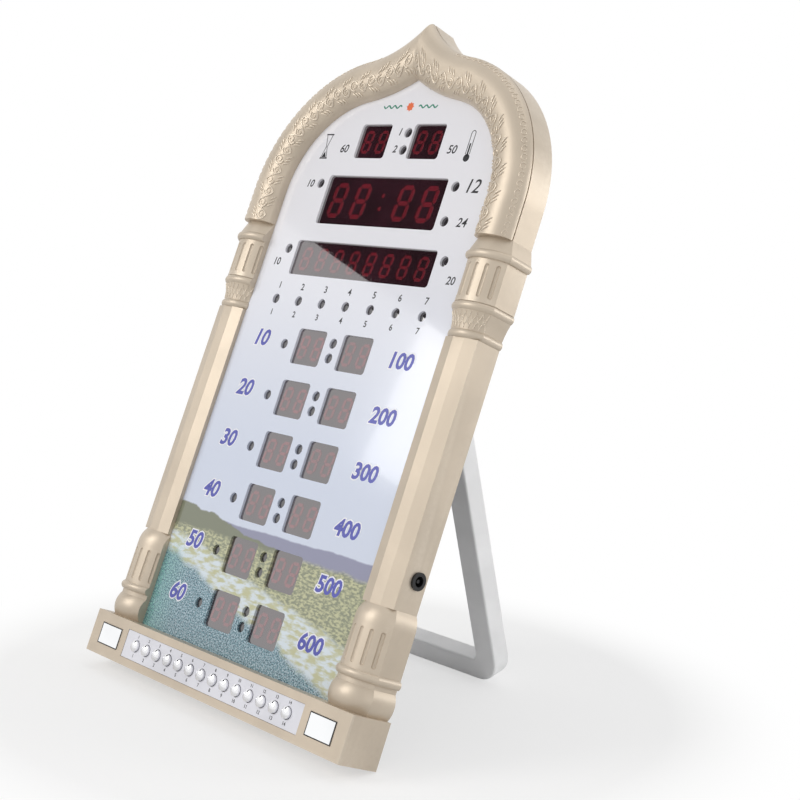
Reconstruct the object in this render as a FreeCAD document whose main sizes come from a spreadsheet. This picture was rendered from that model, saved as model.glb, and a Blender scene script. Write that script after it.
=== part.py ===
import FreeCAD, Part
import math
import os
import re
import Sketcher

os.makedirs("parts", exist_ok=True)
doc = FreeCAD.newDocument("azan_clock")
sheet = doc.addObject("Spreadsheet::Sheet", "Sizes")

# Driving sizes in millimetres and degrees.
# The clock is drawn upright: x to the right, y to the back from the printed face, z up from the foot.
sizes = {
    # whole casing
    "overallTall": (404.0, "foot to apex"),
    "plinthWide": (230.0, "width over the plinth"),
    "plinthTall": (25.0, "height of the plinth"),
    "plinthProud": (12.0, "plinth front ahead of the printed face"),
    "plinthRound": (1.2, "rounding of the plinth's upright front edges"),
    "shellDeep": (15.0, "printed face to the back of the casing"),
    "shellWall": (2.5, "wall of the casing"),
    # arch
    "archMid": (98.3, "middle of the moulding at the springing"),
    "archBand": (25.0, "width of the moulding at the springing"),
    "archSpring": (276.5, "height where the moulding starts"),
    "archTurnOut": (26.0, "centre of the big arc from the middle line"),
    "archTurnRise": (21.5, "centre of the big arc above the springing"),
    "ogeeTurn": (80.0, "where the arch curve reverses"),
    "apexBand": (34.0, "height of the moulding at the apex"),
    "mouldingSwell": (10.0, "crown of the moulding ahead of the face"),
    "mouldingStart": (1.5, "foot of the moulding ahead of the face"),
    "grooveDeep": (0.8, "shadow line between moulding and side wall"),
    "grooveTall": (0.8, "width of the shadow line"),
    # columns
    "columnAxisBack": (10.0, "turning axis behind the face"),
    "columnSwell": (3.8, "turned radius beyond the half width"),
    "shaftHalf": (11.7, "half width of the shaft"),
    "shaftFlat": (7.8, "front facet of the shaft"),
    "shaftFront": (4.8, "front facet ahead of the face"),
    "shaftEdge": (2.5, "shaft corner ahead of the face"),
    "drumHalf": (14.5, "half width of a fluted drum"),
    "topRingHalf": (16.6, "half width of the ring under the arch"),
    "highRingHalf": (15.3, "half width of the ring under the upper drum"),
    "smallRingHalf": (12.9, "half width of the ring over the shaft"),
    "lowRingHalf": (16.0, "half width of the ring over the bulb"),
    "ringThick": (4.5, "height of a ring"),
    "bulbHalf": (16.0, "half width of the bulb at the foot"),
    "bulbTall": (13.5, "height of the bulb"),
    "neckHalf": (14.0, "half width of the necks"),
    "coveTall": (2.5, "height of the neck over the bulb"),
    "lowDrumTall": (24.0, "height of the lower drum"),
    "shoulderTall": (9.5, "height of the shoulder under the shaft"),
    "shaftTop": (221.5, "height of the shaft's upper end"),
    "taperTall": (10.0, "height of the tapered neck"),
    "highDrumTall": (23.5, "height of the upper drum"),
    "fluteRadius": (1.2, "radius of a flute"),
    "fluteMargin": (2.6, "drum left plain above and below a flute"),
    "fluteStep": (20.0, "angle between flutes"),
    # face sheets
    "rabbet": (2.5, "face sheets reach this far under the frame"),
    "fitGap": (0.2, "play round sheets and boards"),
    "panelThick": (1.5, "printed panel"),
    "filterThick": (1.5, "dark filter"),
    "windowRound": (2.0, "corner radius of the display windows"),
    "dotRadius": (3.0, "radius of the round lamp windows"),
    "smallWindowIn": (9.5, "inner edge of the small windows"),
    "smallWindowOut": (34.9, "outer edge of the small windows"),
    "smallWindowLow": (321.3, "lower edge of the small windows"),
    "smallWindowTall": (21.4, "height of the small windows"),
    "clockWindowHalf": (49.7, "half width of the time window"),
    "clockWindowLow": (279.6, "lower edge of the time window"),
    "clockWindowTall": (30.6, "height of the time window"),
    "dateWindowHalf": (59.0, "half width of the date window"),
    "dateWindowLow": (247.0, "lower edge of the date window"),
    "dateWindowTall": (21.5, "height of the date window"),
    "rowWindowIn": (7.3, "inner edge of a row window"),
    "rowWindowOut": (31.8, "outer edge of a row window"),
    "rowWindowTall": (21.3, "height of a row window"),
    "rowTop": (215.2, "upper edge of the first row"),
    "rowPitch": (31.3, "step from row to row"),
    "rowLampOut": (41.6, "row lamp from the middle line"),
    "colonSpread": (8.8, "distance between the two colon lamps"),
    "dayLampHigh": (231.0, "height of the day lamps"),
    "dayPitch": (20.8, "step between day lamps"),
    "modeLampOut": (56.3, "lamps beside the time window"),
    "calendarLampOut": (65.8, "lamps beside the date window"),
    "unitLampOut": (5.3, "lamps between the small windows"),
    # electronics
    "boardThick": (1.6, "circuit boards"),
    "boardHeadHalf": (72.0, "half width of the board's head"),
    "boardHeadLow": (222.0, "lower edge of the board's head"),
    "boardTop": (346.0, "upper edge of the board"),
    "boardStemLeft": (46.0, "board's stem to the left of the middle"),
    "boardStemRight": (38.0, "board's stem to the right of the middle"),
    "boardStemLow": (30.0, "lower edge of the board's stem"),
    "postRadius": (3.0, "radius of a post that holds the board"),
    "moduleDeep": (6.2, "depth of a digit module"),
    "moduleGap": (0.1, "filter to digit module"),
    "moduleOver": (0.4, "digit module larger than its window"),
    "lampRadius": (2.4, "radius of a lamp body"),
    "speakerRadius": (18.0, "radius of the loudspeaker"),
    "speakerDeep": (8.0, "depth of the loudspeaker"),
    "speakerRim": (1.6, "thickness of the loudspeaker's rim"),
    "speakerOut": (67.0, "loudspeaker from the middle line"),
    "speakerHigh": (130.0, "height of the loudspeaker"),
    "cellRadius": (8.0, "radius of the backup cell"),
    "cellThick": (1.6, "thickness of the backup cell"),
    "cellWall": (1.2, "wall of the cell's holder"),
    "cellHigh": (250.0, "height of the backup cell"),
    # keys
    "stripHalf": (79.8, "half width of the key strip"),
    "stripLow": (4.6, "lower edge of the key strip"),
    "stripTall": (15.8, "height of the key strip"),
    "stripThick": (0.8, "thickness of the key strip"),
    "stripRecess": (0.2, "key strip behind the plinth front"),
    "keyCount": (14.0, "number of keys"),
    "keyPitch": (10.6, "step between keys"),
    "keyHigh": (12.9, "height of the keys"),
    "keyRadius": (3.2, "radius of a key"),
    "keyRim": (1.2, "straight part of a key ahead of the plinth"),
    "keyDome": (1.0, "height of a key's dome"),
    "keyTravel": (0.7, "travel of a key"),
    "keyPlay": (0.3, "play round a key"),
    "keySeat": (0.1, "key's flange behind the wall"),
    "keyFlange": (0.9, "flange wider than the key"),
    "keyFlangeThick": (0.8, "thickness of a key's flange"),
    "keyReach": (0.8, "key's flange to its switch"),
    "switchTall": (2.4, "height of a switch body"),
    "switchTip": (1.0, "height of a switch's tip"),
    "switchTipRadius": (1.6, "radius of a switch's tip"),
    "switchSide": (6.0, "side of a key switch"),
    "keyBoardHalf": (84.0, "half width of the key board"),
    "keyBoardTall": (16.0, "height of the key board"),
    # mirror tiles
    "tileIn": (85.6, "inner edge of a mirror tile"),
    "tileOut": (105.5, "outer edge of a mirror tile"),
    "tileLow": (6.5, "lower edge of a mirror tile"),
    "tileTall": (12.2, "height of a mirror tile"),
    "tileThick": (1.3, "thickness of a mirror tile"),
    "tileRecess": (1.0, "depth of a tile's recess"),
    # back cover
    "coverThick": (2.0, "thickness of the back cover"),
    "coverPlay": (0.3, "play round the back cover"),
    "grilleCount": (6.0, "slots over the loudspeaker"),
    "grillePitch": (4.4, "step between grille slots"),
    "grilleTall": (2.0, "height of a grille slot"),
    "grilleHalf": (11.0, "half length of a grille slot"),
    "hangRadius": (4.0, "radius of a keyhole's round part"),
    "hangSlot": (2.0, "half width of a keyhole's slot"),
    "hangLong": (8.0, "length of a keyhole's slot"),
    "hangOut": (84.0, "keyhole from the middle line"),
    "hangHigh": (300.0, "height of a keyhole"),
    "screwRadius": (1.4, "radius of a screw"),
    "screwPlay": (0.3, "play of a screw in the cover"),
    "screwHead": (2.8, "radius of a screw head"),
    "screwHeadThick": (1.2, "height of a screw head"),
    "screwLong": (9.0, "length of a cover screw"),
    "screwSink": (0.1, "screw heads below the back of the cover"),
    "screwPocket": (0.2, "play round a screw head"),
    "screwGap": (1.7, "side screws outside the middle line of a column"),
    "screwLow": (40.0, "height of the low screws"),
    "screwMiddle": (150.0, "height of the middle screws"),
    "screwHigh": (260.0, "height of the high screws"),
    "screwTopOut": (57.0, "top screws from the middle line"),
    "screwTopHigh": (358.0, "height of the top screws"),
    "postLow": (40.0, "height of the low board posts"),
    "postHigh": (300.0, "height of the high board posts"),
    "postLeft": (40.0, "low left post from the middle line"),
    "postRight": (32.0, "low right post from the middle line"),
    "postOut": (66.0, "high posts from the middle line"),
    "bossRadius": (3.5, "radius of a screw boss"),
    # supply socket
    "socketHigh": (96.0, "height of the supply socket"),
    "socketBack": (8.0, "supply socket behind the face"),
    "socketRadius": (3.9, "barrel of the supply socket"),
    "socketLong": (11.0, "length of the supply socket's barrel"),
    "socketFlange": (4.8, "flange of the supply socket"),
    "socketFlangeThick": (1.3, "thickness of the flange"),
    "socketBore": (2.8, "bore of the supply socket"),
    "socketDeep": (9.5, "depth of the bore"),
    "socketPin": (1.0, "centre pin of the supply socket"),
    "nutAcross": (5.4, "half size of the socket's nut"),
    "nutThick": (1.8, "thickness of the socket's nut"),
    # stand
    "standHalf": (55.0, "half width of the stand"),
    "standLeg": (15.5, "width of a leg"),
    "standThick": (12.8, "thickness of the stand"),
    "standFoot": (13.0, "height of the cross bar"),
    "standRound": (16.0, "rounding of the stand's outer corners"),
    "standInnerRound": (4.0, "rounding inside the stand's corners"),
    "standEdge": (1.2, "rounding of the stand's long edges"),
    "standLong": (232.46, "hinge to the end of the stand"),
    "standOpen": (37.2, "opening angle of the stand"),
    "hingeHigh": (241.7, "height of the hinge"),
    "hingeBack": (23.5, "hinge behind the face"),
    "hingePin": (2.0, "radius of a hinge pin"),
    "hingePlay": (0.3, "play between pin and leg"),
    "earThick": (3.0, "thickness of a hinge ear"),
    "earPlay": (0.4, "play beside a leg"),
}
for rowNumber, (word, (number, note)) in enumerate(sizes.items(), 1):
    sheet.set("A%d" % rowNumber, word)
    sheet.set("B%d" % rowNumber, str(number))
    sheet.set("C%d" % rowNumber, note)
    sheet.setAlias("B%d" % rowNumber, word)
doc.recompute()

words = re.compile(r"\b(" + "|".join(sizes) + r")\b")


def val(word):
    return float(sheet.get(word))


def bound(text):
    return words.sub(r"Sizes.\1", text)


def bind(thing, **formulas):
    for prop, text in formulas.items():
        thing.setExpression(prop.replace("_", "."), bound(text))
    return thing


def at(thing, x, y, z):
    return bind(thing, Placement_Base_x=x, Placement_Base_y=y, Placement_Base_z=z)


def box(name, x0, x1, y0, y1, z0, z1):
    thing = doc.addObject("Part::Box", name)
    bind(thing, Length="(%s) - (%s)" % (x1, x0))
    bind(thing, Width="(%s) - (%s)" % (y1, y0))
    bind(thing, Height="(%s) - (%s)" % (z1, z0))
    return at(thing, x0, y0, z0)


turns = {
    "x": FreeCAD.Rotation(FreeCAD.Vector(0, 1, 0), 90),
    "y": FreeCAD.Rotation(FreeCAD.Vector(1, 0, 0), -90),
    "z": FreeCAD.Rotation(),
}


def rod(name, axis, radius, x, y, z, length):
    # a cylinder from its start point along the given axis
    thing = doc.addObject("Part::Cylinder", name)
    thing.Placement.Rotation = turns[axis]
    bind(thing, Radius=radius, Height=length)
    return at(thing, x, y, z)


def fuse(name, shapes):
    thing = doc.addObject("Part::MultiFuse", name)
    thing.Shapes = shapes
    return thing


def cut(name, base, tools):
    thing = doc.addObject("Part::Cut", name)
    thing.Base = base
    thing.Tool = tools[0] if len(tools) == 1 else fuse(name + "_tools", tools)
    return thing


def common(name, base, tool):
    thing = doc.addObject("Part::Common", name)
    thing.Base = base
    thing.Tool = tool
    return thing


def group(name, shapes):
    thing = doc.addObject("Part::Compound", name)
    thing.Links = shapes
    return thing


def shaped(name, shape):
    thing = doc.addObject("Part::Feature", name)
    thing.Shape = shape
    return thing


def originPlane(body, role):
    return [plane for plane in body.Origin.OriginFeatures if plane.Role == role][0]


def rectangle(sketch, x0, x1, z0, z1):
    # four lines held by two corner points, whose places follow the sheet
    corners = [(0, 0), (1, 0), (1, 1), (0, 1)]
    first = len(sketch.Geometry)
    for k in range(4):
        start = corners[k]
        end = corners[(k + 1) % 4]
        sketch.addGeometry(
            Part.LineSegment(
                FreeCAD.Vector(10 + 9 * start[0], 10 + 9 * start[1], 0),
                FreeCAD.Vector(10 + 9 * end[0], 10 + 9 * end[1], 0),
            )
        )
    for k in range(4):
        sketch.addConstraint(Sketcher.Constraint("Coincident", first + k, 2, first + (k + 1) % 4, 1))
        sketch.addConstraint(Sketcher.Constraint("Vertical" if k % 2 else "Horizontal", first + k))
    for geometry, kind, text in (
        (first, "DistanceX", x0),
        (first, "DistanceY", z0),
        (first + 2, "DistanceX", x1),
        (first + 2, "DistanceY", z1),
    ):
        start = 10.0 if geometry == first else 19.0
        number = sketch.addConstraint(Sketcher.Constraint(kind, -1, 1, geometry, 1, start))
        sketch.setExpression("Constraints[%d]" % number, bound(text))


def faceSketch(body, name, y):
    # a sketch on an upright plane that faces the front, at depth y
    sketch = body.newObject("Sketcher::SketchObject", name)
    sketch.AttachmentSupport = [(originPlane(body, "XZ_Plane"), "")]
    sketch.MapMode = "FlatFace"
    sketch.setExpression("AttachmentOffset.Base.z", bound("-(%s)" % y))
    return sketch


def plate(name, x0, x1, z0, z1, y0, thick):
    # a padded sheet or board, from its front face at y0 to the back
    body = doc.addObject("PartDesign::Body", name)
    sketch = faceSketch(body, name + "_outline", y0)
    rectangle(sketch, x0, x1, z0, z1)
    pad = body.newObject("PartDesign::Pad", name + "_pad")
    pad.Profile = sketch
    pad.Reversed = True
    bind(pad, Length=thick)
    return body


# Outlines of the arch
def archCentre():
    return val("archTurnOut"), val("archSpring") + val("archTurnRise")


def archCurve(inset, apexHigh):
    # the right half of one arch outline: its radii, turning angle and rear centre
    centreX, centreZ = archCentre()
    bigRadius = val("archMid") + val("archBand") / 2 - inset - centreX
    angle = math.radians(val("ogeeTurn"))
    reach = -centreX * math.cos(angle) + (apexHigh - centreZ) * math.sin(angle)
    square = centreX ** 2 + (apexHigh - centreZ) ** 2
    backRadius = (square - 2 * bigRadius * reach + bigRadius ** 2) / (2 * (reach - bigRadius))
    span = bigRadius + backRadius
    backCentre = (centreX + span * math.cos(angle), centreZ + span * math.sin(angle))
    return bigRadius, angle, backRadius, backCentre


def apexAt(inset):
    # the moulding is taller at the apex than at the springing, in this proportion
    return val("overallTall") - inset * val("apexBand") / val("archBand")


def archPoint(inset, share):
    # a point of the outline, from the springing (0) by way of the turn (0.7) to the apex (1)
    apexHigh = apexAt(inset)
    centreX, centreZ = archCentre()
    bigRadius, angle, backRadius, backCentre = archCurve(inset, apexHigh)
    riseShare = 0.12
    turnShare = 0.7
    if share < riseShare:
        return centreX + bigRadius, val("archSpring") + val("archTurnRise") * share / riseShare
    if share < turnShare:
        here = angle * (share - riseShare) / (turnShare - riseShare)
        return centreX + bigRadius * math.cos(here), centreZ + bigRadius * math.sin(here)
    startAngle = angle + math.pi
    endAngle = math.atan2(apexHigh - backCentre[1], -backCentre[0]) % (2 * math.pi)
    here = startAngle + (endAngle - startAngle) * (share - turnShare) / (1 - turnShare)
    return backCentre[0] + backRadius * math.cos(here), backCentre[1] + backRadius * math.sin(here)


def archBlock(inset, low, y0, y1):
    # the solid inside one arch outline, down to the height low and from y0 back to y1
    def spot(x, z):
        return FreeCAD.Vector(x, y0, z)

    spring, rise, middle, turning, back, apex = [
        archPoint(inset, share) for share in (0, 0.12, 0.41, 0.7, 0.85, 1)
    ]
    edges = [Part.LineSegment(spot(spring[0], low), spot(*rise)).toShape()]
    edges.append(Part.Arc(spot(*rise), spot(*middle), spot(*turning)).toShape())
    edges.append(Part.Arc(spot(*turning), spot(*back), spot(0, apex[1])).toShape())
    mirrored = [edge.mirror(FreeCAD.Vector(), FreeCAD.Vector(1, 0, 0)) for edge in reversed(edges)]
    floor = Part.LineSegment(spot(-spring[0], low), spot(spring[0], low)).toShape()
    face = Part.Face(Part.Wire(Part.__sortEdges__(edges + mirrored + [floor])))
    return face.extrude(FreeCAD.Vector(0, y1 - y0, 0))


band = val("archBand")
foot = val("plinthTall")


# Front frame: arch moulding, columns and plinth in one casting
def mouldingSection(share):
    # a half oval that spans from the inner to the outer outline
    start = -val("mouldingStart")
    innerX, innerZ = archPoint(band, share)
    outerX, outerZ = archPoint(0, share)
    inner = FreeCAD.Vector(innerX, start, innerZ)
    outer = FreeCAD.Vector(outerX, start, outerZ)
    middle = (inner + outer) / 2
    across = (outer - inner) / 2
    forward = FreeCAD.Vector(0, start - -val("mouldingSwell"), 0) * -1
    root = Part.LineSegment(outer, inner).toShape()
    oval = Part.BSplineCurve()
    steps = 16
    spots = []
    for k in range(steps + 1):
        angle = math.pi * (1 - k / steps)
        spots.append(middle + across * math.cos(angle) + forward * math.sin(angle))
    oval.interpolate(spots)
    return Part.Wire([oval.toShape(), root])


def loftBetween(low, high, steps):
    shares = [low + (high - low) * k / steps for k in range(steps + 1)]
    return Part.makeLoft([mouldingSection(share) for share in shares], True, False)


straight = loftBetween(0, 0.12, 1)
bigBend = loftBetween(0.12, 0.7, 8)
backBend = loftBetween(0.7, 1, 5)
rightMoulding = straight.fuse([bigBend, backBend])
leftMoulding = rightMoulding.mirror(FreeCAD.Vector(), FreeCAD.Vector(1, 0, 0))
moulding = shaped("arch_moulding", rightMoulding.fuse(leftMoulding))


def archWallBlock():
    # the smooth wall behind the moulding, with a shadow line at its front
    spring = val("archSpring")
    start = -val("mouldingStart")
    groove = start + val("grooveTall")
    wall = archBlock(0, spring, groove, val("shellDeep"))
    return wall.fuse(archBlock(val("grooveDeep"), spring, start, groove))


archWall = shaped("arch_wall", archWallBlock())


def columnHeights():
    # heights where the column's members begin, from the plinth up
    steps = [
        ("bulb", "bulbTall"), ("cove", "coveTall"), ("lowRing", "ringThick"),
        ("lowDrum", "lowDrumTall"), ("shoulder", "shoulderTall"),
    ]
    heights = {}
    here = foot
    for name, word in steps:
        heights[name] = here
        here += val(word)
    heights["shaft"] = here
    here = val("shaftTop")
    steps = [
        ("smallRing", "ringThick"), ("taper", "taperTall"), ("highRing", "ringThick"),
        ("highDrum", "highDrumTall"), ("topRing", "ringThick"),
    ]
    for name, word in steps:
        heights[name] = here
        here += val(word)
    heights["flare"] = here
    heights["end"] = val("archSpring")
    return heights


tall = columnHeights()


def columnEdges(extra):
    # the column's half profile as (radius, height) edges; extra is added to every radius
    def spot(radius, height):
        return FreeCAD.Vector(radius + extra, 0, height)

    edges = []
    drum = val("drumHalf")
    neck = val("neckHalf")
    slim = val("shaftHalf")
    here = [spot(neck, tall["bulb"])]

    def line(radius, height):
        end = spot(radius, height)
        if (end - here[0]).Length > 1e-6:
            edges.append(Part.LineSegment(here[0], end).toShape())
        here[0] = end

    def arc(throughRadius, throughHeight, radius, height):
        end = spot(radius, height)
        edges.append(Part.Arc(here[0], spot(throughRadius, throughHeight), end).toShape())
        here[0] = end

    def ring(radius, low, after):
        edge = radius - 1.2
        line(edge, low)
        arc(radius, low + val("ringThick") / 2, edge, low + val("ringThick"))
        line(after, low + val("ringThick"))

    arc(val("bulbHalf"), tall["bulb"] + val("bulbTall") * 0.5, neck, tall["cove"])
    line(neck, tall["lowRing"])
    ring(val("lowRingHalf"), tall["lowRing"], drum)
    line(drum, tall["shoulder"])
    arc(drum - 0.5, tall["shoulder"] + val("shoulderTall") * 0.5, slim, tall["shaft"])
    line(slim, tall["smallRing"])
    ring(val("smallRingHalf"), tall["smallRing"], slim)
    arc(slim + 0.8, tall["taper"] + val("taperTall") * 0.5, neck, tall["highRing"])
    ring(val("highRingHalf"), tall["highRing"], drum)
    line(drum, tall["topRing"])
    ring(val("topRingHalf"), tall["topRing"], val("topRingHalf") - 1.2)
    arc(drum - 0.5, (tall["flare"] + tall["end"]) / 2, slim + 0.8, tall["end"])
    return edges, here[0]


def columnTurned():
    # the front swell: the profile turned about an axis behind the face
    edges, last = columnEdges(val("columnSwell"))
    low = FreeCAD.Vector(0, 0, tall["bulb"])
    high = FreeCAD.Vector(0, 0, tall["end"])
    edges.append(Part.LineSegment(last, high).toShape())
    edges.append(Part.LineSegment(high, low).toShape())
    edges.append(Part.LineSegment(low, edges[0].Vertexes[0].Point).toShape())
    face = Part.Face(Part.Wire(Part.__sortEdges__(edges)))
    solid = face.revolve(FreeCAD.Vector(), FreeCAD.Vector(0, 0, 1), 360)
    solid.translate(FreeCAD.Vector(val("archMid"), val("columnAxisBack"), 0))
    return solid


def columnSides():
    # the same profile as a flat outline, drawn straight to the back
    edges, last = columnEdges(0)
    first = edges[0].Vertexes[0].Point
    edges += [edge.mirror(FreeCAD.Vector(), FreeCAD.Vector(1, 0, 0)) for edge in edges]
    edges.append(Part.LineSegment(last, FreeCAD.Vector(-last.x, 0, last.z)).toShape())
    edges.append(Part.LineSegment(first, FreeCAD.Vector(-first.x, 0, first.z)).toShape())
    face = Part.Face(Part.Wire(Part.__sortEdges__(edges)))
    front = -val("plinthProud") * 2
    solid = face.extrude(FreeCAD.Vector(0, val("shellDeep") - front, 0))
    solid.translate(FreeCAD.Vector(val("archMid"), front, 0))
    return solid


def shaftPrism():
    # the faceted shaft between shoulder and small ring
    half = val("shaftHalf")
    flat = val("shaftFlat") / 2
    outline = [
        (-half, val("shellDeep")),
        (-half, -val("shaftEdge")),
        (-flat, -val("shaftFront")),
        (flat, -val("shaftFront")),
        (half, -val("shaftEdge")),
        (half, val("shellDeep")),
    ]
    spots = [FreeCAD.Vector(val("archMid") + x, y, tall["shaft"]) for x, y in outline]
    face = Part.Face(Part.makePolygon(spots + spots[:1]))
    return face.extrude(FreeCAD.Vector(0, 0, tall["smallRing"] - tall["shaft"]))


def fluteTool(angle, low, high):
    # a slot with round ends on the drum's front
    radius = val("fluteRadius")
    reach = val("drumHalf") + val("columnSwell") + radius * 0.2
    x = val("archMid") + reach * math.sin(math.radians(angle))
    y = val("columnAxisBack") - reach * math.cos(math.radians(angle))
    tool = Part.makeCylinder(radius, high - low, FreeCAD.Vector(x, y, low))
    for z in (low, high):
        tool = tool.fuse(Part.makeSphere(radius, FreeCAD.Vector(x, y, z)))
    return tool


def columnShape():
    # the round members, the faceted shaft between them and the flutes of both drums
    shape = columnSides().common(columnTurned())
    depth = val("plinthProud") * 3
    corner = FreeCAD.Vector(val("archMid") - depth, -depth, tall["shaft"])
    room = Part.makeBox(depth * 2, depth * 2, tall["smallRing"] - tall["shaft"], corner)
    shape = shape.cut(room).fuse(shaftPrism())
    tools = []
    margin = val("fluteMargin") + val("fluteRadius")
    for member, above in (("lowDrum", "shoulder"), ("highDrum", "topRing")):
        for place in range(-2, 3):
            angle = place * val("fluteStep")
            tools.append(fluteTool(angle, tall[member] + margin, tall[above] - margin))
    return shape.cut(tools).removeSplitter()


rightColumn = shaped("right_column", columnShape())
leftColumn = doc.addObject("Part::Mirroring", "left_column")
leftColumn.Source = rightColumn
leftColumn.Normal = FreeCAD.Vector(1, 0, 0)

plinthBody = doc.addObject("PartDesign::Body", "plinth_block")
plinthSketch = plinthBody.newObject("Sketcher::SketchObject", "plinth_outline")
plinthSketch.AttachmentSupport = [(originPlane(plinthBody, "XY_Plane"), "")]
plinthSketch.MapMode = "FlatFace"
rectangle(plinthSketch, "-plinthWide / 2", "plinthWide / 2", "-plinthProud", "shellDeep")
plinthPad = plinthBody.newObject("PartDesign::Pad", "plinth_pad")
plinthPad.Profile = plinthSketch
bind(plinthPad, Length="plinthTall")
doc.recompute()
frontEdges = []
for k, edge in enumerate(plinthPad.Shape.Edges, 1):
    ends = [vertex.Point for vertex in edge.Vertexes]
    upright = abs(ends[0].z - ends[1].z) > 1
    if upright and abs(ends[0].y + val("plinthProud")) < 1e-6:
        frontEdges.append("Edge%d" % k)
plinthFillet = plinthBody.newObject("PartDesign::Fillet", "plinth_fillet")
plinthFillet.Base = (plinthPad, frontEdges)
bind(plinthFillet, Radius="plinthRound")

# Rooms cut into the casting
wall = val("shellWall")
back = val("shellDeep")
sheetBack = val("panelThick") + val("filterThick")
faceRoom = shaped("face_room", archBlock(band, foot, -val("plinthProud") * 2, 1))
sheetRoom = shaped(
    "sheet_room", archBlock(band - val("rabbet"), foot - wall, 0, sheetBack + 0.5)
)
shellRoom = shaped("shell_room", archBlock(wall + 0.6, wall, sheetBack, back + 1))
plinthRoom = box(
    "plinth_room",
    "-archMid - archBand / 2 + shellWall + 0.6", "archMid + archBand / 2 - shellWall - 0.6",
    "-plinthProud + shellWall", "shellDeep + 1",
    "shellWall", "plinthTall - shellWall",
)
stripRoom = box(
    "strip_room",
    "-stripHalf - fitGap", "stripHalf + fitGap",
    "-plinthProud - 1", "-plinthProud + stripRecess + stripThick",
    "stripLow - fitGap", "stripLow + stripTall + fitGap",
)
tileRooms = [
    box(
        "tile_room_" + side,
        low, high,
        "-plinthProud - 1", "-plinthProud + tileRecess",
        "tileLow - fitGap", "tileLow + tileTall + fitGap",
    )
    for side, low, high in (
        ("left", "-tileOut - fitGap", "-tileIn + fitGap"),
        ("right", "tileIn - fitGap", "tileOut + fitGap"),
    )
]
keyX = ["(%g) * keyPitch" % (k - (val("keyCount") - 1) / 2) for k in range(int(val("keyCount")))]
keyRooms = [
    rod(
        "key_room_%02d" % (k + 1), "y", "keyRadius + keyPlay",
        x, "-plinthProud - 1", "keyHigh", "plinthProud",
    )
    for k, x in enumerate(keyX)
]
socketRoom = rod(
    "socket_room", "x", "socketRadius + fitGap", "archMid", "socketBack", "socketHigh", "shaftHalf * 2",
)
screwSpots = [(sign, high) for high in ("screwLow", "screwMiddle", "screwHigh") for sign in ("-1", "1")]
bosses = []
bossBores = []
coverBores = []
screwParts = []
spotTexts = [("(%s) * (archMid + screwGap)" % sign, high) for sign, high in screwSpots]
spotTexts += [("-screwTopOut", "screwTopHigh"), ("screwTopOut", "screwTopHigh")]
coverFront = "shellDeep - coverThick"
headFront = "shellDeep - screwSink - screwHeadThick"
for k, (x, z) in enumerate(spotTexts, 1):
    bosses.append(
        rod("boss_%d" % k, "y", "bossRadius", x, "panelThick", z, coverFront + " - panelThick")
    )
    bossBores.append(rod("boss_bore_%d" % k, "y", "screwRadius", x, "shellDeep - screwLong", z, "screwLong"))
    coverBores.append(
        rod("cover_bore_%d" % k, "y", "screwRadius + screwPlay", x, "0", z, "shellDeep * 2")
    )
    # the pocket that lets the head lie flush, so the back stays one flat face
    coverBores.append(
        rod("cover_pocket_%d" % k, "y", "screwHead + screwPocket", x, headFront, z, "screwHeadThick + 1")
    )
    screwParts.append(
        rod(
            "screw_shank_%d" % k, "y", "screwRadius", x,
            "shellDeep - screwLong + 1", z, "screwLong - 1 - screwSink - screwHeadThick",
        )
    )
    head = rod("screw_head_%d" % k, "y", "screwHead", x, headFront, z, "screwHeadThick")
    socket = box(
        "screw_slot_%d" % k,
        "%s - screwHead - 1" % x, "%s + screwHead + 1" % x,
        "shellDeep - screwSink - screwHeadThick / 2", "shellDeep + 1",
        "%s - 0.4" % z, "%s + 0.4" % z,
    )
    screwParts.append(cut("screw_cap_%d" % k, head, [socket]))
frameWhole = fuse("frame_whole", [moulding, archWall, rightColumn, leftColumn, plinthBody])
hollow = cut("hollow_frame", frameWhole, [faceRoom, sheetRoom, shellRoom, plinthRoom])
frontFrame = cut(
    "front_frame",
    fuse("frame_with_bosses", [hollow] + bosses),
    [stripRoom, socketRoom] + tileRooms + keyRooms + bossBores,
)


# Face sheets
def sheetBlock(front, thick):
    gap = val("fitGap")
    return archBlock(band - val("rabbet") + gap, foot - wall + gap, front, front + thick)


def roundedTool(x0, x1, z0, height, front, rear):
    tool = Part.makeBox(x1 - x0, rear - front, height, FreeCAD.Vector(x0, front, z0))
    level = [edge for edge in tool.Edges if abs(edge.Vertexes[0].Y - edge.Vertexes[1].Y) > 1e-6]
    return tool.makeFillet(val("windowRound"), level)


def windowTexts():
    # every display window as name, left, right, low and height, in the sheet's words
    small = ("smallWindowLow", "smallWindowTall")
    windows = [
        ("countdown", "-smallWindowOut", "-smallWindowIn") + small,
        ("temperature", "smallWindowIn", "smallWindowOut") + small,
        ("time", "-clockWindowHalf", "clockWindowHalf", "clockWindowLow", "clockWindowTall"),
        ("date", "-dateWindowHalf", "dateWindowHalf", "dateWindowLow", "dateWindowTall"),
    ]
    for row in range(6):
        low = "rowTop - rowWindowTall - %d * rowPitch" % row
        name = "row_%d" % (row + 1)
        windows.append((name, "-rowWindowOut", "-rowWindowIn", low, "rowWindowTall"))
        windows.append((name, "rowWindowIn", "rowWindowOut", low, "rowWindowTall"))
    return windows


def number(text):
    # the value of a short sum of the sheet's words
    total = 0.0
    for sign, term in re.findall(r"([+-]?)\s*([^+-]+)", text):
        product = 1.0
        for factor in term.split("*"):
            word = factor.strip()
            product *= val(word) if word in sizes else float(word)
        total += -product if sign == "-" else product
    return total


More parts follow.
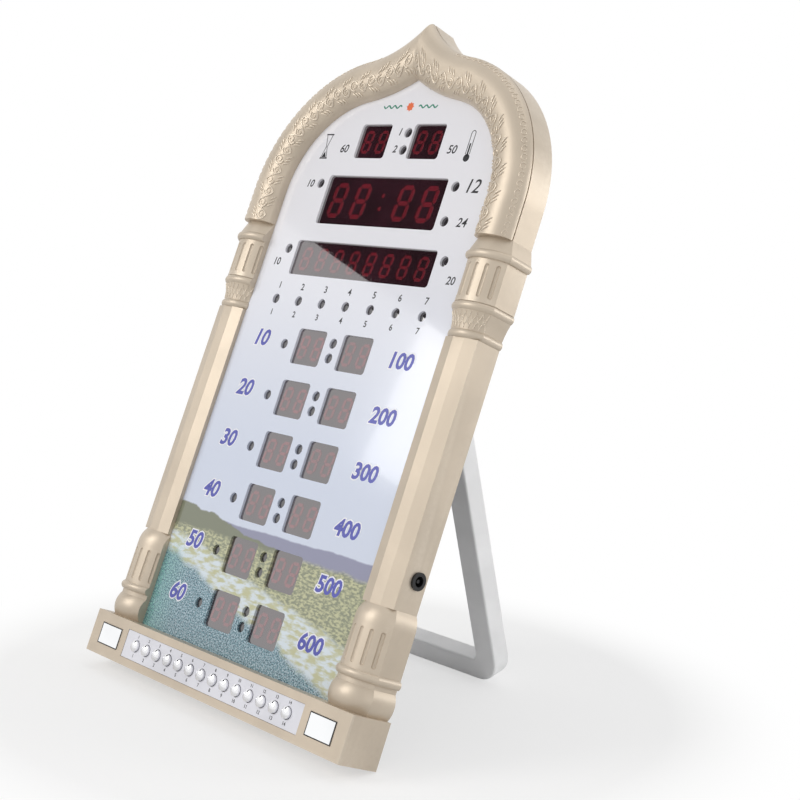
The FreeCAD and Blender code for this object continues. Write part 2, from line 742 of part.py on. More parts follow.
def lampSpots():
    # the centres of all round lamps
    clockHigh = val("clockWindowLow") + val("clockWindowTall")
    smallMiddle = val("smallWindowLow") + val("smallWindowTall") / 2
    dateHigh = val("dateWindowLow") + val("dateWindowTall") * 0.73
    out = val("modeLampOut")
    spots = [((k - 3) * val("dayPitch"), val("dayLampHigh")) for k in range(7)]
    spots += [(val("unitLampOut"), smallMiddle + 5.3), (val("unitLampOut"), smallMiddle - 5.3)]
    spots += [(out, clockHigh - 4.7), (out, clockHigh - 25.0), (-out, clockHigh - 5.4)]
    spots += [(-val("calendarLampOut"), dateHigh), (val("calendarLampOut"), dateHigh)]
    for row in range(6):
        middle = val("rowTop") - row * val("rowPitch") - val("rowWindowTall") / 2
        spots.append((-val("rowLampOut"), middle))
        spots.append((0.0, middle + val("colonSpread") / 2))
        spots.append((0.0, middle - val("colonSpread") / 2))
    return spots


rearward = FreeCAD.Vector(0, 1, 0)
panelTools = [
    roundedTool(number(x0), number(x1), number(z0), number(height), -1, val("panelThick") + 1)
    for _, x0, x1, z0, height in windowTexts()
]
for x, z in lampSpots():
    start = FreeCAD.Vector(x, -1, z)
    panelTools.append(Part.makeCylinder(val("dotRadius"), val("panelThick") + 2, start, rearward))
panelSheet = shaped("panel_sheet", sheetBlock(0, val("panelThick")))
panelOpenings = shaped("panel_openings", Part.makeCompound(panelTools))
facePanel = cut("face_panel", panelSheet, [panelOpenings])
displayFilter = shaped("display_filter", sheetBlock(val("panelThick"), val("filterThick")))

# Boards, digit modules and lamps
moduleFront = "panelThick + filterThick + moduleGap"
boardFront = moduleFront + " + moduleDeep"
boardBack = boardFront + " + boardThick"
mainBoard = plate(
    "main_board",
    "-boardHeadHalf", "boardHeadHalf", "boardHeadLow", "boardTop",
    boardFront, "boardThick",
)
stemSketch = faceSketch(mainBoard, "board_stem_outline", boardFront)
rectangle(stemSketch, "-boardStemLeft", "boardStemRight", "boardStemLow", "boardHeadLow")
stemPad = mainBoard.newObject("PartDesign::Pad", "board_stem")
stemPad.Profile = stemSketch
stemPad.Reversed = True
bind(stemPad, Length="boardThick")

modules = {}
for name, x0, x1, z0, height in windowTexts():
    block = plate(
        "module_%s_%d" % (name, len(modules.get(name, [])) + 1),
        x0 + " - moduleOver", x1 + " + moduleOver",
        z0 + " - moduleOver", z0 + " + " + height + " + moduleOver",
        moduleFront, "moduleDeep",
    )
    modules.setdefault(name, []).append(block)


def domedRod(radius, dome, x, front, rear, z):
    # a pin along y whose front end is a shallow dome
    ball = (radius ** 2 + dome ** 2) / (2 * dome)
    start = FreeCAD.Vector(x, front + dome, z)
    straight = Part.makeCylinder(radius, rear - front - dome, start, rearward)
    sphere = Part.makeSphere(ball, FreeCAD.Vector(x, front + ball, z))
    tip = Part.makeCylinder(radius, dome, FreeCAD.Vector(x, front, z), rearward)
    return straight.fuse(sphere.common(tip))


def lampShape(x, z):
    # a round lamp with a shallow dome, standing on the board
    return domedRod(val("lampRadius"), 1.5, x, number(moduleFront), number(boardFront), z)


indicatorLeds = shaped("lamp_bodies", Part.makeCompound([lampShape(x, z) for x, z in lampSpots()]))
irReceiver = fuse(
    "receiver_body",
    [
        box("receiver_block", "-62", "-56", boardFront + " - 4", boardFront, "326", "333"),
        rod("receiver_lens", "y", "2.2", "-59", boardFront + " - 5", "329.5", "2"),
    ],
)

# Loudspeaker on the back cover
speakerMiddle = "shellDeep - coverThick - speakerRim"
speakerRimDisc = rod(
    "speaker_rim", "y", "speakerRadius", "-speakerOut", speakerMiddle, "speakerHigh", "speakerRim"
)
speakerBasket = doc.addObject("Part::Cone", "speaker_basket")
speakerBasket.Placement.Rotation = turns["y"]
bind(speakerBasket, Radius1="speakerRadius * 0.5", Radius2="speakerRadius * 0.9")
bind(speakerBasket, Height="(speakerDeep - speakerRim) / 2")
at(speakerBasket, "-speakerOut", speakerMiddle + " - (speakerDeep - speakerRim) / 2", "speakerHigh")
speakerMagnet = rod(
    "speaker_magnet", "y", "speakerRadius * 0.5", "-speakerOut",
    "shellDeep - coverThick - speakerDeep", "speakerHigh", "(speakerDeep - speakerRim) / 2",
)
speaker = fuse("speaker", [speakerRimDisc, speakerBasket, speakerMagnet])

# Backup cell in its holder on the back of the board
holderOuter = rod(
    "holder_outer", "y", "cellRadius + fitGap + cellWall", "0", boardBack, "cellHigh", "cellThick + 0.2"
)
holderInner = rod(
    "holder_inner", "y", "cellRadius + fitGap", "0", boardBack + " + 0.2", "cellHigh", "cellThick + 1"
)
cellHolder = cut("cell_holder", holderOuter, [holderInner])
backupCell = group(
    "backup_cell",
    [rod("cell_disc", "y", "cellRadius", "0", boardBack + " + 0.2", "cellHigh", "cellThick")],
)

# Keys
keyPlaneBack = "-plinthProud + shellWall"


def keyCap(name, x):
    # a domed cap on a flange that rests behind the plinth wall
    radius = val("keyRadius")
    seat = -val("plinthProud") + wall + val("keySeat")
    rear = seat + val("keyFlangeThick")
    tip = -val("plinthProud") - val("keyRim") - val("keyDome")
    middle = number(x.replace("(", "").replace(")", ""))
    start = FreeCAD.Vector(middle, seat, val("keyHigh"))
    flange = Part.makeCylinder(radius + val("keyFlange"), val("keyFlangeThick"), start, rearward)
    cap = domedRod(radius, val("keyDome"), middle, tip, rear, val("keyHigh"))
    return shaped(name + "_shape", cap.fuse(flange))


keyCaps = [keyCap("button_cap_%02d" % (k + 1), x) for k, x in enumerate(keyX)]
stripPlate = plate(
    "strip_plate",
    "-stripHalf", "stripHalf", "stripLow", "stripLow + stripTall",
    "-plinthProud + stripRecess", "stripThick",
)
stripHoles = [
    rod("strip_hole_%02d" % (k + 1), "y", "keyRadius + keyPlay", x, "-plinthProud - 1", "keyHigh", "4")
    for k, x in enumerate(keyX)
]
labelStrip = cut("label_strip", stripPlate, stripHoles)
tiles = [
    plate(
        "mirror_tile_" + side, low, high, "tileLow", "tileLow + tileTall",
        "-plinthProud + tileRecess - tileThick", "tileThick",
    )
    for side, low, high in (("left", "-tileOut", "-tileIn"), ("right", "tileIn", "tileOut"))
]
tipFront = keyPlaneBack + " + keySeat + keyFlangeThick + keyReach"
keyBoardFront = tipFront + " + switchTip + switchTall"
keyBoard = plate(
    "key_board",
    "-keyBoardHalf", "keyBoardHalf", "keyHigh - keyBoardTall / 2", "keyHigh + keyBoardTall / 2",
    keyBoardFront, "boardThick",
)
switchParts = []
for k, x in enumerate(keyX, 1):
    case = box(
        "switch_case_%02d" % k,
        x + " - switchSide / 2", x + " + switchSide / 2",
        tipFront + " + switchTip", keyBoardFront,
        "keyHigh - switchSide / 2", "keyHigh + switchSide / 2",
    )
    tip = rod("switch_tip_%02d" % k, "y", "switchTipRadius", x, tipFront, "keyHigh", "switchTip + 0.5")
    switchParts.append(fuse("switch_%02d" % k, [case, tip]))

# Supply socket in the right wall
wallFace = "archMid + shaftHalf"
socketBarrel = rod(
    "socket_barrel", "x", "socketRadius",
    wallFace + " - socketLong", "socketBack", "socketHigh", "socketLong",
)
socketRim = rod(
    "socket_rim", "x", "socketFlange", wallFace, "socketBack", "socketHigh", "socketFlangeThick"
)
socketHole = rod(
    "socket_hole", "x", "socketBore", wallFace + " + socketFlangeThick - socketDeep",
    "socketBack", "socketHigh", "socketDeep + 1",
)
socketPin = rod(
    "socket_pin", "x", "socketPin", wallFace + " + socketFlangeThick - socketDeep - 0.5",
    "socketBack", "socketHigh", "socketDeep - 0.5",
)
socketBody = fuse(
    "dc_socket",
    [cut("socket_shell", fuse("socket_solid", [socketBarrel, socketRim]), [socketHole]), socketPin],
)
nutBlock = box(
    "nut_block",
    wallFace + " - shellWall + 0.2 - nutThick", wallFace + " - shellWall + 0.2 - 0.2",
    "socketBack - nutAcross + 1", "socketBack + nutAcross - 1",
    "socketHigh - nutAcross", "socketHigh + nutAcross",
)
nutHole = rod(
    "nut_hole", "x", "socketRadius + 0.1", "archMid - shaftHalf", "socketBack", "socketHigh", "shaftHalf * 3"
)
socketNut = cut("socket_nut", nutBlock, [nutHole])

# Back cover with keyholes, loudspeaker grille and the stand's hinge ears
coverShell = shaped(
    "cover_shell",
    archBlock(wall + 0.6 + val("coverPlay"), wall + val("coverPlay"), back - val("coverThick"), back),
)
coverTools = list(coverBores)
for side, sign in (("left", "-1"), ("right", "1")):
    middle = "(%s) * hangOut" % sign
    coverTools.append(rod("hang_hole_" + side, "y", "hangRadius", middle, "0", "hangHigh", "shellDeep * 2"))
    coverTools.append(
        box(
            "hang_slot_" + side, middle + " - hangSlot", middle + " + hangSlot",
            "0", "shellDeep * 2", "hangHigh", "hangHigh + hangLong",
        )
    )
for k in range(int(val("grilleCount"))):
    middle = "speakerHigh + (%g) * grillePitch" % (k - (val("grilleCount") - 1) / 2)
    coverTools.append(
        box(
            "grille_%d" % (k + 1), "-speakerOut - grilleHalf", "-speakerOut + grilleHalf",
            "shellDeep - coverThick - 0.1", "shellDeep + 1",
            middle + " - grilleTall / 2", middle + " + grilleTall / 2",
        )
    )
ears = []
earBores = []
for side, sign in (("left", -1), ("right", 1)):
    for place, start in (
        ("outer", "standHalf + earPlay"),
        ("inner", "standHalf - standLeg - earPlay - earThick"),
    ):
        ends = (start, start + " + earThick") if sign > 0 else ("-(%s + earThick)" % start, "-(%s)" % start)
        name = "ear_%s_%s" % (place, side)
        web = box(
            name + "_web", ends[0], ends[1], "shellDeep - coverThick / 2", "hingeBack",
            "hingeHigh - standThick / 2", "hingeHigh + standThick / 2",
        )
        eye = rod(name + "_eye", "x", "standThick / 2", ends[0], "hingeBack", "hingeHigh", "earThick")
        ears += [web, eye]
        earBores.append(
            rod(
                name + "_bore", "x", "hingePin",
                ends[0] + " - 0.1", "hingeBack", "hingeHigh", "earThick + 0.2",
            )
        )
postSpots = [
    ("-postLeft", "postLow"), ("postRight", "postLow"),
    ("-postOut", "postHigh"), ("postOut", "postHigh"),
]
posts = [
    rod("post_%d" % k, "y", "postRadius", x, boardBack, z, "shellDeep - coverThick / 2 - (%s)" % boardBack)
    for k, (x, z) in enumerate(postSpots, 1)
]
coverSolid = cut("cover_plate", coverShell, coverTools)
backCover = cut("back_cover", fuse("cover_with_ears", [coverSolid] + ears + posts), earBores)

# Stand
pinParts = []
for side, sign in (("left", -1), ("right", 1)):
    start = "standHalf - standLeg - earPlay - earThick"
    length = "standLeg + earPlay * 2 + earThick * 2"
    x = start if sign > 0 else "-(%s + %s)" % (start, length)
    pinParts.append(rod("pin_" + side, "x", "hingePin", x, "hingeBack", "hingeHigh", length))


def standBlock():
    # one U frame, drawn hanging straight down from its hinge
    half = val("standHalf")
    leg = val("standLeg")
    thick = val("standThick")
    low = val("hingeHigh") - val("standLong")
    front = val("hingeBack") - thick / 2
    tallness = val("hingeHigh") - low
    outer = Part.makeBox(half * 2, thick, tallness, FreeCAD.Vector(-half, front, low))
    gap = Part.makeBox(
        (half - leg) * 2, thick * 2, tallness, FreeCAD.Vector(-half + leg, front - 1, low + val("standFoot"))
    )

    def roundCorners(block, radius, height):
        edges = [
            edge
            for edge in block.Edges
            if abs(edge.Vertexes[0].Y - edge.Vertexes[1].Y) > 1
            and abs(edge.Vertexes[0].Z - height) < 1e-6
        ]
        return block.makeFillet(radius, edges)

    outer = roundCorners(outer, val("standRound"), low)
    gap = roundCorners(gap, val("standInnerRound"), low + val("standFoot"))
    shape = outer.cut(gap)
    edges = [
        edge
        for edge in shape.Edges
        if all(abs(vertex.Y - front - thick / 2) > thick / 2 - 1e-6 for vertex in edge.Vertexes)
        and abs(edge.Vertexes[0].Y - edge.Vertexes[-1].Y) < 1e-6
        and max(vertex.Z for vertex in edge.Vertexes) <= val("hingeHigh") + 1e-6
        and not (edge.BoundBox.ZLength < 1e-6 and edge.BoundBox.ZMin > val("hingeHigh") - 1)
    ]
    shape = shape.makeFillet(val("standEdge"), edges)
    eye = Part.makeCylinder(
        thick / 2, half * 2,
        FreeCAD.Vector(-half, val("hingeBack"), val("hingeHigh")), FreeCAD.Vector(1, 0, 0),
    )
    eyeGap = Part.makeBox(
        (half - leg) * 2, thick * 2, thick * 2,
        FreeCAD.Vector(-half + leg, front - 5, val("hingeHigh") - thick),
    )
    shape = shape.fuse(eye.cut(eyeGap))
    bore = Part.makeCylinder(
        val("hingePin") + val("hingePlay"), half * 2 + 2,
        FreeCAD.Vector(-half - 1, val("hingeBack"), val("hingeHigh")), FreeCAD.Vector(1, 0, 0),
    )
    return shape.cut(bore).removeSplitter()


stand = shaped("stand_frame", standBlock())

# The pose it stands in: leaning back until plinth edge and stand touch one floor
swing = math.radians(val("standOpen"))
edge = val("standEdge")
reachDown = val("standLong") - edge
reachBack = val("standThick") / 2 - edge
footY = val("hingeBack") + reachDown * math.sin(swing) - reachBack * math.cos(swing)
footZ = val("hingeHigh") - reachDown * math.cos(swing) - reachBack * math.sin(swing)
toFoot = math.hypot(footY - back, footZ)
lean = math.degrees(math.atan2(footZ, footY - back) - math.asin(edge / toFoot))
leanTurn = FreeCAD.Rotation(FreeCAD.Vector(1, 0, 0), -lean)
pivot = FreeCAD.Vector(0, back, 0)
tilt = FreeCAD.Placement(pivot - leanTurn.multVec(pivot), leanTurn)
hinge = FreeCAD.Vector(0, val("hingeBack"), val("hingeHigh"))
openTurn = FreeCAD.Rotation(FreeCAD.Vector(1, 0, 0), val("standOpen"))
openPlace = FreeCAD.Placement(hinge - openTurn.multVec(hinge), openTurn)

nodes = {
    "front_frame": frontFrame,
    "back_cover": backCover,
    "face_panel": facePanel,
    "display_filter": displayFilter,
    "main_board": mainBoard,
    "indicator_leds": indicatorLeds,
    "ir_receiver": irReceiver,
    "speaker": speaker,
    "cell_holder": cellHolder,
    "backup_cell": backupCell,
    "label_strip": labelStrip,
    "mirror_tile_left": tiles[0],
    "mirror_tile_right": tiles[1],
    "key_board": keyBoard,
    "tact_switches": group("switch_bank", switchParts),
    "dc_socket": socketBody,
    "dc_socket_nut": socketNut,
    "cover_screws": group("screw_set", screwParts),
    "stand_pins": group("pin_pair", pinParts),
    "stand": stand,
}
for name, blocks in modules.items():
    label = name.replace("row_", "row_digits_") if name.startswith("row") else name + "_digits"
    nodes[label] = group(label + "_pair", blocks) if len(blocks) > 1 else blocks[0]
for k, cap in enumerate(keyCaps, 1):
    nodes["button_cap_%02d" % k] = cap
doc.recompute()

# Shift that puts the middle of the whole clock's footprint on the origin
corners = []
for name, thing in nodes.items():
    shape = thing.Shape.copy()
    if name == "stand":
        shape.Placement = openPlace
    shape.Placement = tilt.multiply(shape.Placement)
    corners.append(shape.optimalBoundingBox(False, False))
lowY = min(box_.YMin for box_ in corners)
highY = max(box_.YMax for box_ in corners)
lowX = min(box_.XMin for box_ in corners)
highX = max(box_.XMax for box_ in corners)
shift = FreeCAD.Placement(FreeCAD.Vector(-(lowX + highX) / 2, -(lowY + highY) / 2, 0), FreeCAD.Rotation())
home = shift.multiply(tilt)
print("lean %.4f  shift y %.4f  x %.4f" % (lean, shift.Base.y, shift.Base.x))
for name, thing in nodes.items():
    thing.Label = name
    thing.Placement = home.multiply(openPlace) if name == "stand" else home
doc.recompute()

for thing in doc.Objects:
    bad = [state for state in thing.State if state in ("Invalid", "Error")]
    if bad:
        raise ValueError("%s is %s" % (thing.Label, bad))
whole = FreeCAD.BoundBox()
for name, thing in nodes.items():
    shape = thing.Shape
    if shape.isNull() or not shape.isValid():
        raise ValueError("bad shape: " + name)
    whole.add(shape.BoundBox)
    print("%-20s %9.1f mm3  %d solids" % (name, shape.Volume, len(shape.Solids)))
    shape.exportStep("parts/%s.step" % name)
print("whole", whole)
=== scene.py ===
import math
import random

import bmesh
import bpy
from mathutils import Euler, Matrix, Vector


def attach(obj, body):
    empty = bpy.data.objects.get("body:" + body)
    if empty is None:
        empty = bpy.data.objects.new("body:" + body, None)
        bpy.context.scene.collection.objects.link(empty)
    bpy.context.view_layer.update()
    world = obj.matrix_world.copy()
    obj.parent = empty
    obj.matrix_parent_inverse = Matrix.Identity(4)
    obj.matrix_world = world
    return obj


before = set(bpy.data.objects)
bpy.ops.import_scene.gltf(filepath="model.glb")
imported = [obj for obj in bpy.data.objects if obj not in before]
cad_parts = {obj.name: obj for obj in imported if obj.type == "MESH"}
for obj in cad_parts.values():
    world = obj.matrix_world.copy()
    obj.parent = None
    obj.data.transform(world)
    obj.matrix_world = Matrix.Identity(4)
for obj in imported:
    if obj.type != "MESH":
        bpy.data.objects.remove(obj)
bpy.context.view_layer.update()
print("frame loaded")

# ---- where the clock stands ----
stance = {
    "lean": 20.2087,       # degrees back from upright
    "backEdge": 15.0,      # mm, the plinth edge it leans about
    "shiftY": -84.9426,    # mm, footprint centred on the origin
}
leanTurn = Matrix.Rotation(-math.radians(stance["lean"]), 3, "X")
leanEdge = Vector((0, stance["backEdge"], 0))
leanShift = Vector((0, stance["shiftY"], 0))


def onClock(x, y, z):  # mm on the upright clock to metres in the row frame
    return (leanTurn @ (Vector((x, y, z)) - leanEdge) + leanEdge + leanShift) / 1000


clockMatrix = Matrix.Translation(onClock(0, 0, 0)) @ leanTurn.to_4x4()

# ---- shader helpers ----


def startMaterial(name):
    material = bpy.data.materials.new(name)
    material.use_nodes = True
    tree = material.node_tree
    shader = tree.nodes["Principled BSDF"]
    return material, tree, shader


def addNode(tree, kind, **settings):
    node = tree.nodes.new(kind)
    for key, value in settings.items():
        if key in node.inputs:
            node.inputs[key].default_value = value
        else:
            setattr(node, key, value)
    return node


def mathNode(tree, operation, first, second=None):
    node = tree.nodes.new("ShaderNodeMath")
    node.operation = operation
    for slotNumber, value in enumerate((first, second)):
        if value is None:
            continue
        if isinstance(value, (int, float)):
            node.inputs[slotNumber].default_value = value
        else:
            tree.links.new(value, node.inputs[slotNumber])
    return node.outputs[0]


def mixColour(tree, mask, first, second):
    node = tree.nodes.new("ShaderNodeMix")
    node.data_type = "RGBA"
    for slotNumber, value in ((0, mask), (6, first), (7, second)):
        if hasattr(value, "is_linked"):
            tree.links.new(value, node.inputs[slotNumber])
        elif slotNumber == 0:
            node.inputs[0].default_value = value
        else:
            node.inputs[slotNumber].default_value = (*value, 1)
    return node.outputs[2]


def ramp(tree, value, low, high):
    node = tree.nodes.new("ShaderNodeMapRange")
    node.interpolation_type = "SMOOTHSTEP"
    node.inputs["From Min"].default_value = low
    node.inputs["From Max"].default_value = high
    tree.links.new(value, node.inputs["Value"])
    return node.outputs["Result"]


def newGroup(name, inputs, outputs):
    group = bpy.data.node_groups.new(name, "ShaderNodeTree")
    for label, kind, value in inputs:
        socket = group.interface.new_socket(label, in_out="INPUT", socket_type=kind)
        if value is not None:
            socket.default_value = value
    for label, kind in outputs:
        group.interface.new_socket(label, in_out="OUTPUT", socket_type=kind)
    return group, group.nodes.new("NodeGroupInput"), group.nodes.new("NodeGroupOutput")


def clockPlaceGroup():  # object position as millimetres on the upright clock
    group, _, result = newGroup("clockPlace", [], [("Place", "NodeSocketVector")])
    coordinates = group.nodes.new("ShaderNodeTexCoord")
    inverse = clockMatrix.inverted()
    mapping = group.nodes.new("ShaderNodeMapping")
    mapping.inputs["Rotation"].default_value = inverse.to_euler()
    mapping.inputs["Location"].default_value = inverse.to_translation() * 1000
    mapping.inputs["Scale"].default_value = (1000, 1000, 1000)
    group.links.new(coordinates.outputs["Object"], mapping.inputs["Vector"])
    group.links.new(mapping.outputs["Vector"], result.inputs["Place"])
    return group


def satinGroup():  # fine sprayed grain: colour drift, roughness and a height
    group, given, result = newGroup(
        "satinGrain",
        [("Place", "NodeSocketVector", None), ("Grain Scale", "NodeSocketFloat", 3.0)],
        [("Drift", "NodeSocketFloat"), ("Fleck", "NodeSocketFloat"), ("Height", "NodeSocketFloat")],
    )
    drift = addNode(group, "ShaderNodeTexNoise", Scale=0.035, Detail=3.0)
    fleck = addNode(group, "ShaderNodeTexNoise", Detail=2.0, Roughness=0.6)
    for node in (drift, fleck):
        group.links.new(given.outputs["Place"], node.inputs["Vector"])
    group.links.new(given.outputs["Grain Scale"], fleck.inputs["Scale"])
    group.links.new(drift.outputs["Fac"], result.inputs["Drift"])
    group.links.new(ramp(group, fleck.outputs["Fac"], 0.35, 0.7), result.inputs["Fleck"])
    group.links.new(fleck.outputs["Fac"], result.inputs["Height"])
    return group


def wearGroup():  # where edges are rubbed
    group, given, result = newGroup(
        "edgeRub",
        [("Place", "NodeSocketVector", None), ("Reach", "NodeSocketFloat", 0.56)],
        [("Mask", "NodeSocketFloat")],
    )
    geometry = group.nodes.new("ShaderNodeNewGeometry")
    noise = addNode(group, "ShaderNodeTexNoise", Scale=0.4, Detail=4.0)
    group.links.new(given.outputs["Place"], noise.inputs["Vector"])
    edge = mathNode(group, "SUBTRACT", geometry.outputs["Pointiness"], given.outputs["Reach"])
    edge = mathNode(group, "MULTIPLY", edge, 14.0)
    spotted = mathNode(group, "MULTIPLY", edge, noise.outputs["Fac"])
    node = group.nodes.new("ShaderNodeClamp")
    group.links.new(spotted, node.inputs["Value"])
    group.links.new(node.outputs["Result"], result.inputs["Mask"])
    return group


clockPlace = clockPlaceGroup()
satinGrain = satinGroup()
edgeRub = wearGroup()


def useGroup(tree, group, **inputs):
    node = tree.nodes.new("ShaderNodeGroup")
    node.node_tree = group
    for key, value in inputs.items():
        name = key.replace("_", " ")
        if hasattr(value, "is_linked"):
            tree.links.new(value, node.inputs[name])
        else:
            node.inputs[name].default_value = value
    return node


def finishMaterial(name, values):
    # one recipe for paints, plastics and metals: grain, colour drift, rubbed edges
    material, tree, shader = startMaterial(name)
    place = useGroup(tree, clockPlace).outputs["Place"]
    grain = useGroup(tree, satinGrain, Place=place, Grain_Scale=values.get("grainScale", 3.0))
    rub = useGroup(tree, edgeRub, Place=place, Reach=values.get("rubReach", 0.56))
    colour = Vector(values["colour"])
    shade = values.get("shade", 0.92)
    deep = tuple(colour * shade)
    light = tuple(min(1.0, part * values.get("lift", 1.04)) for part in colour)
    drifted = mixColour(tree, ramp(tree, grain.outputs["Drift"], 0.35, 0.65), deep, light)
    flecked = mixColour(
        tree,
        mathNode(tree, "MULTIPLY", grain.outputs["Fleck"], values.get("fleck", 0.1)),
        drifted,
        values.get("fleckColour", light),
    )
    rubbed = mixColour(
        tree, mathNode(tree, "MULTIPLY", rub.outputs["Mask"], 0.5), flecked, values.get("rub", light)
    )
    tree.links.new(rubbed, shader.inputs["Base Color"])
    rough = values["rough"]
    spread = values.get("roughSpread", 0.05)
    roughness = mathNode(tree, "MULTIPLY", grain.outputs["Fleck"], spread)
    tree.links.new(mathNode(tree, "ADD", roughness, rough), shader.inputs["Roughness"])
    bump = addNode(tree, "ShaderNodeBump", Strength=values.get("bump", 0.1), Distance=0.0002)
    tree.links.new(grain.outputs["Height"], bump.inputs["Height"])
    tree.links.new(bump.outputs["Normal"], shader.inputs["Normal"])
    shader.inputs["Metallic"].default_value = values.get("metal", 0.0)
    shader.inputs["IOR"].default_value = values.get("ior", 1.45)
    shader.inputs["Coat Weight"].default_value = values.get("coat", 0.0)
    shader.inputs["Coat Roughness"].default_value = values.get("coatRough", 0.1)
    return material


finishes = {
    "champagnePaint": {
        "colour": (0.57, 0.485, 0.385), "rough": 0.38, "metal": 0.42, "bump": 0.12, "grainScale": 4.0,
        "fleck": 0.14, "fleckColour": (0.74, 0.65, 0.53), "rub": (0.82, 0.74, 0.63), "shade": 0.95,
    },
    # painted highlight: the carving is the frame's own champagne paint, given here as a lighter, shinier copy
    # so the relief looks lit
    "carvedPaintHighlit": {
        "colour": (0.66, 0.57, 0.46), "rough": 0.26, "metal": 0.55, "bump": 0.1, "grainScale": 4.0,
        "fleck": 0.16, "fleckColour": (0.86, 0.79, 0.69),
    },
    "standPlastic": {
        "colour": (0.94, 0.94, 0.945), "rough": 0.45, "bump": 0.15, "grainScale": 2.5, "fleck": 0.06,
        "shade": 0.97,
    },
    "coverPlastic": {
        "colour": (0.022, 0.022, 0.024), "rough": 0.5, "bump": 0.5, "grainScale": 1.6, "fleck": 0.15,
        "fleckColour": (0.05, 0.05, 0.054), "rub": (0.1, 0.1, 0.1),
    },
    "blackPlastic": {
        "colour": (0.012, 0.012, 0.013), "rough": 0.3, "bump": 0.1, "fleck": 0.05,
        "fleckColour": (0.04, 0.04, 0.042),
    },
    "keyChrome": {
        "colour": (0.86, 0.86, 0.88), "rough": 0.07, "metal": 1.0, "bump": 0.01, "fleck": 0.02,
        "roughSpread": 0.03,
    },
    "mirrorGlass": {
        "colour": (0.93, 0.94, 0.95), "rough": 0.02, "metal": 1.0, "bump": 0.0, "fleck": 0.01,
        "roughSpread": 0.01,
    },
    "zincSteel": {
        "colour": (0.56, 0.56, 0.57), "rough": 0.3, "metal": 1.0, "bump": 0.1, "grainScale": 1.2,
        "fleck": 0.3, "fleckColour": (0.7, 0.7, 0.7),
    },
    "boardGreen": {
        "colour": (0.02, 0.13, 0.05), "rough": 0.3, "bump": 0.2, "grainScale": 0.8, "fleck": 0.5,
        "fleckColour": (0.03, 0.19, 0.08),
    },
    "lampResin": {
        "colour": (0.18, 0.02, 0.02), "rough": 0.15, "bump": 0.02, "fleck": 0.1,
        "fleckColour": (0.3, 0.05, 0.04), "coat": 0.5,
    },
    "modulePotting": {
        "colour": (0.02, 0.016, 0.018), "rough": 0.4, "bump": 0.1, "fleck": 0.1,
        "fleckColour": (0.04, 0.03, 0.035),
    },
    "speakerPaint": {
        "colour": (0.06, 0.06, 0.062), "rough": 0.4, "metal": 0.4, "bump": 0.1, "fleck": 0.1,
        "fleckColour": (0.1, 0.1, 0.1),
    },
    "stripPrint": {
        "colour": (0.80, 0.80, 0.86), "rough": 0.2, "bump": 0.02, "grainScale": 2.0, "fleck": 0.05,
        "coat": 0.4, "fleckColour": (0.86, 0.86, 0.92),
    },
}
materials = {name: finishMaterial(name, values) for name, values in finishes.items()}


# ---- dark filter behind the windows ----
filterLook = {
    "colour": (0.022, 0.006, 0.010),
    "cloud": (0.040, 0.010, 0.018),
    "ior": 2.9,            # half-mirrored foil
    "segment": (0.16, 0.012, 0.022),
    "lamp": (0.035, 0.03, 0.034),
}


def glossDark(name, colour, cloud, ior):
    material, tree, shader = startMaterial(name)
    place = useGroup(tree, clockPlace).outputs["Place"]
    grain = useGroup(tree, satinGrain, Place=place, Grain_Scale=0.6)
    mask = ramp(tree, grain.outputs["Drift"], 0.3, 0.7)
    tree.links.new(mixColour(tree, mask, colour, cloud), shader.inputs["Base Color"])
    tree.links.new(mathNode(tree, "MULTIPLY", grain.outputs["Fleck"], 0.05), shader.inputs["Roughness"])
    shader.inputs["IOR"].default_value = ior
    return material


materials["filterDark"] = glossDark(
    "filterDark", filterLook["colour"], filterLook["cloud"], filterLook["ior"]
)
segmentCloud = tuple(part * 1.3 for part in filterLook["segment"])
materials["segmentRed"] = glossDark("segmentRed", filterLook["segment"], segmentCloud, filterLook["ior"])
lampCloud = tuple(part * 1.4 for part in filterLook["lamp"])
materials["lampLens"] = glossDark("lampLens", filterLook["lamp"], lampCloud, 2.2)


# ---- printed face: pale sky over a made-up landscape ----
printLook = {
    "skyHigh": (0.93, 0.925, 0.97),
    "skyLow": (0.68, 0.735, 0.87),
    "ridge": (0.30, 0.305, 0.43),
    "hill": (0.22, 0.235, 0.165),
    "plain": (0.56, 0.56, 0.34),
    "plainDark": (0.27, 0.29, 0.20),
    "band": (0.72, 0.80, 0.86),
    "meadow": (0.13, 0.28, 0.34),
    "meadowLight": (0.48, 0.62, 0.70),
    "meadowDark": (0.02, 0.07, 0.11),
    "teal": (0.16, 0.52, 0.42),
}


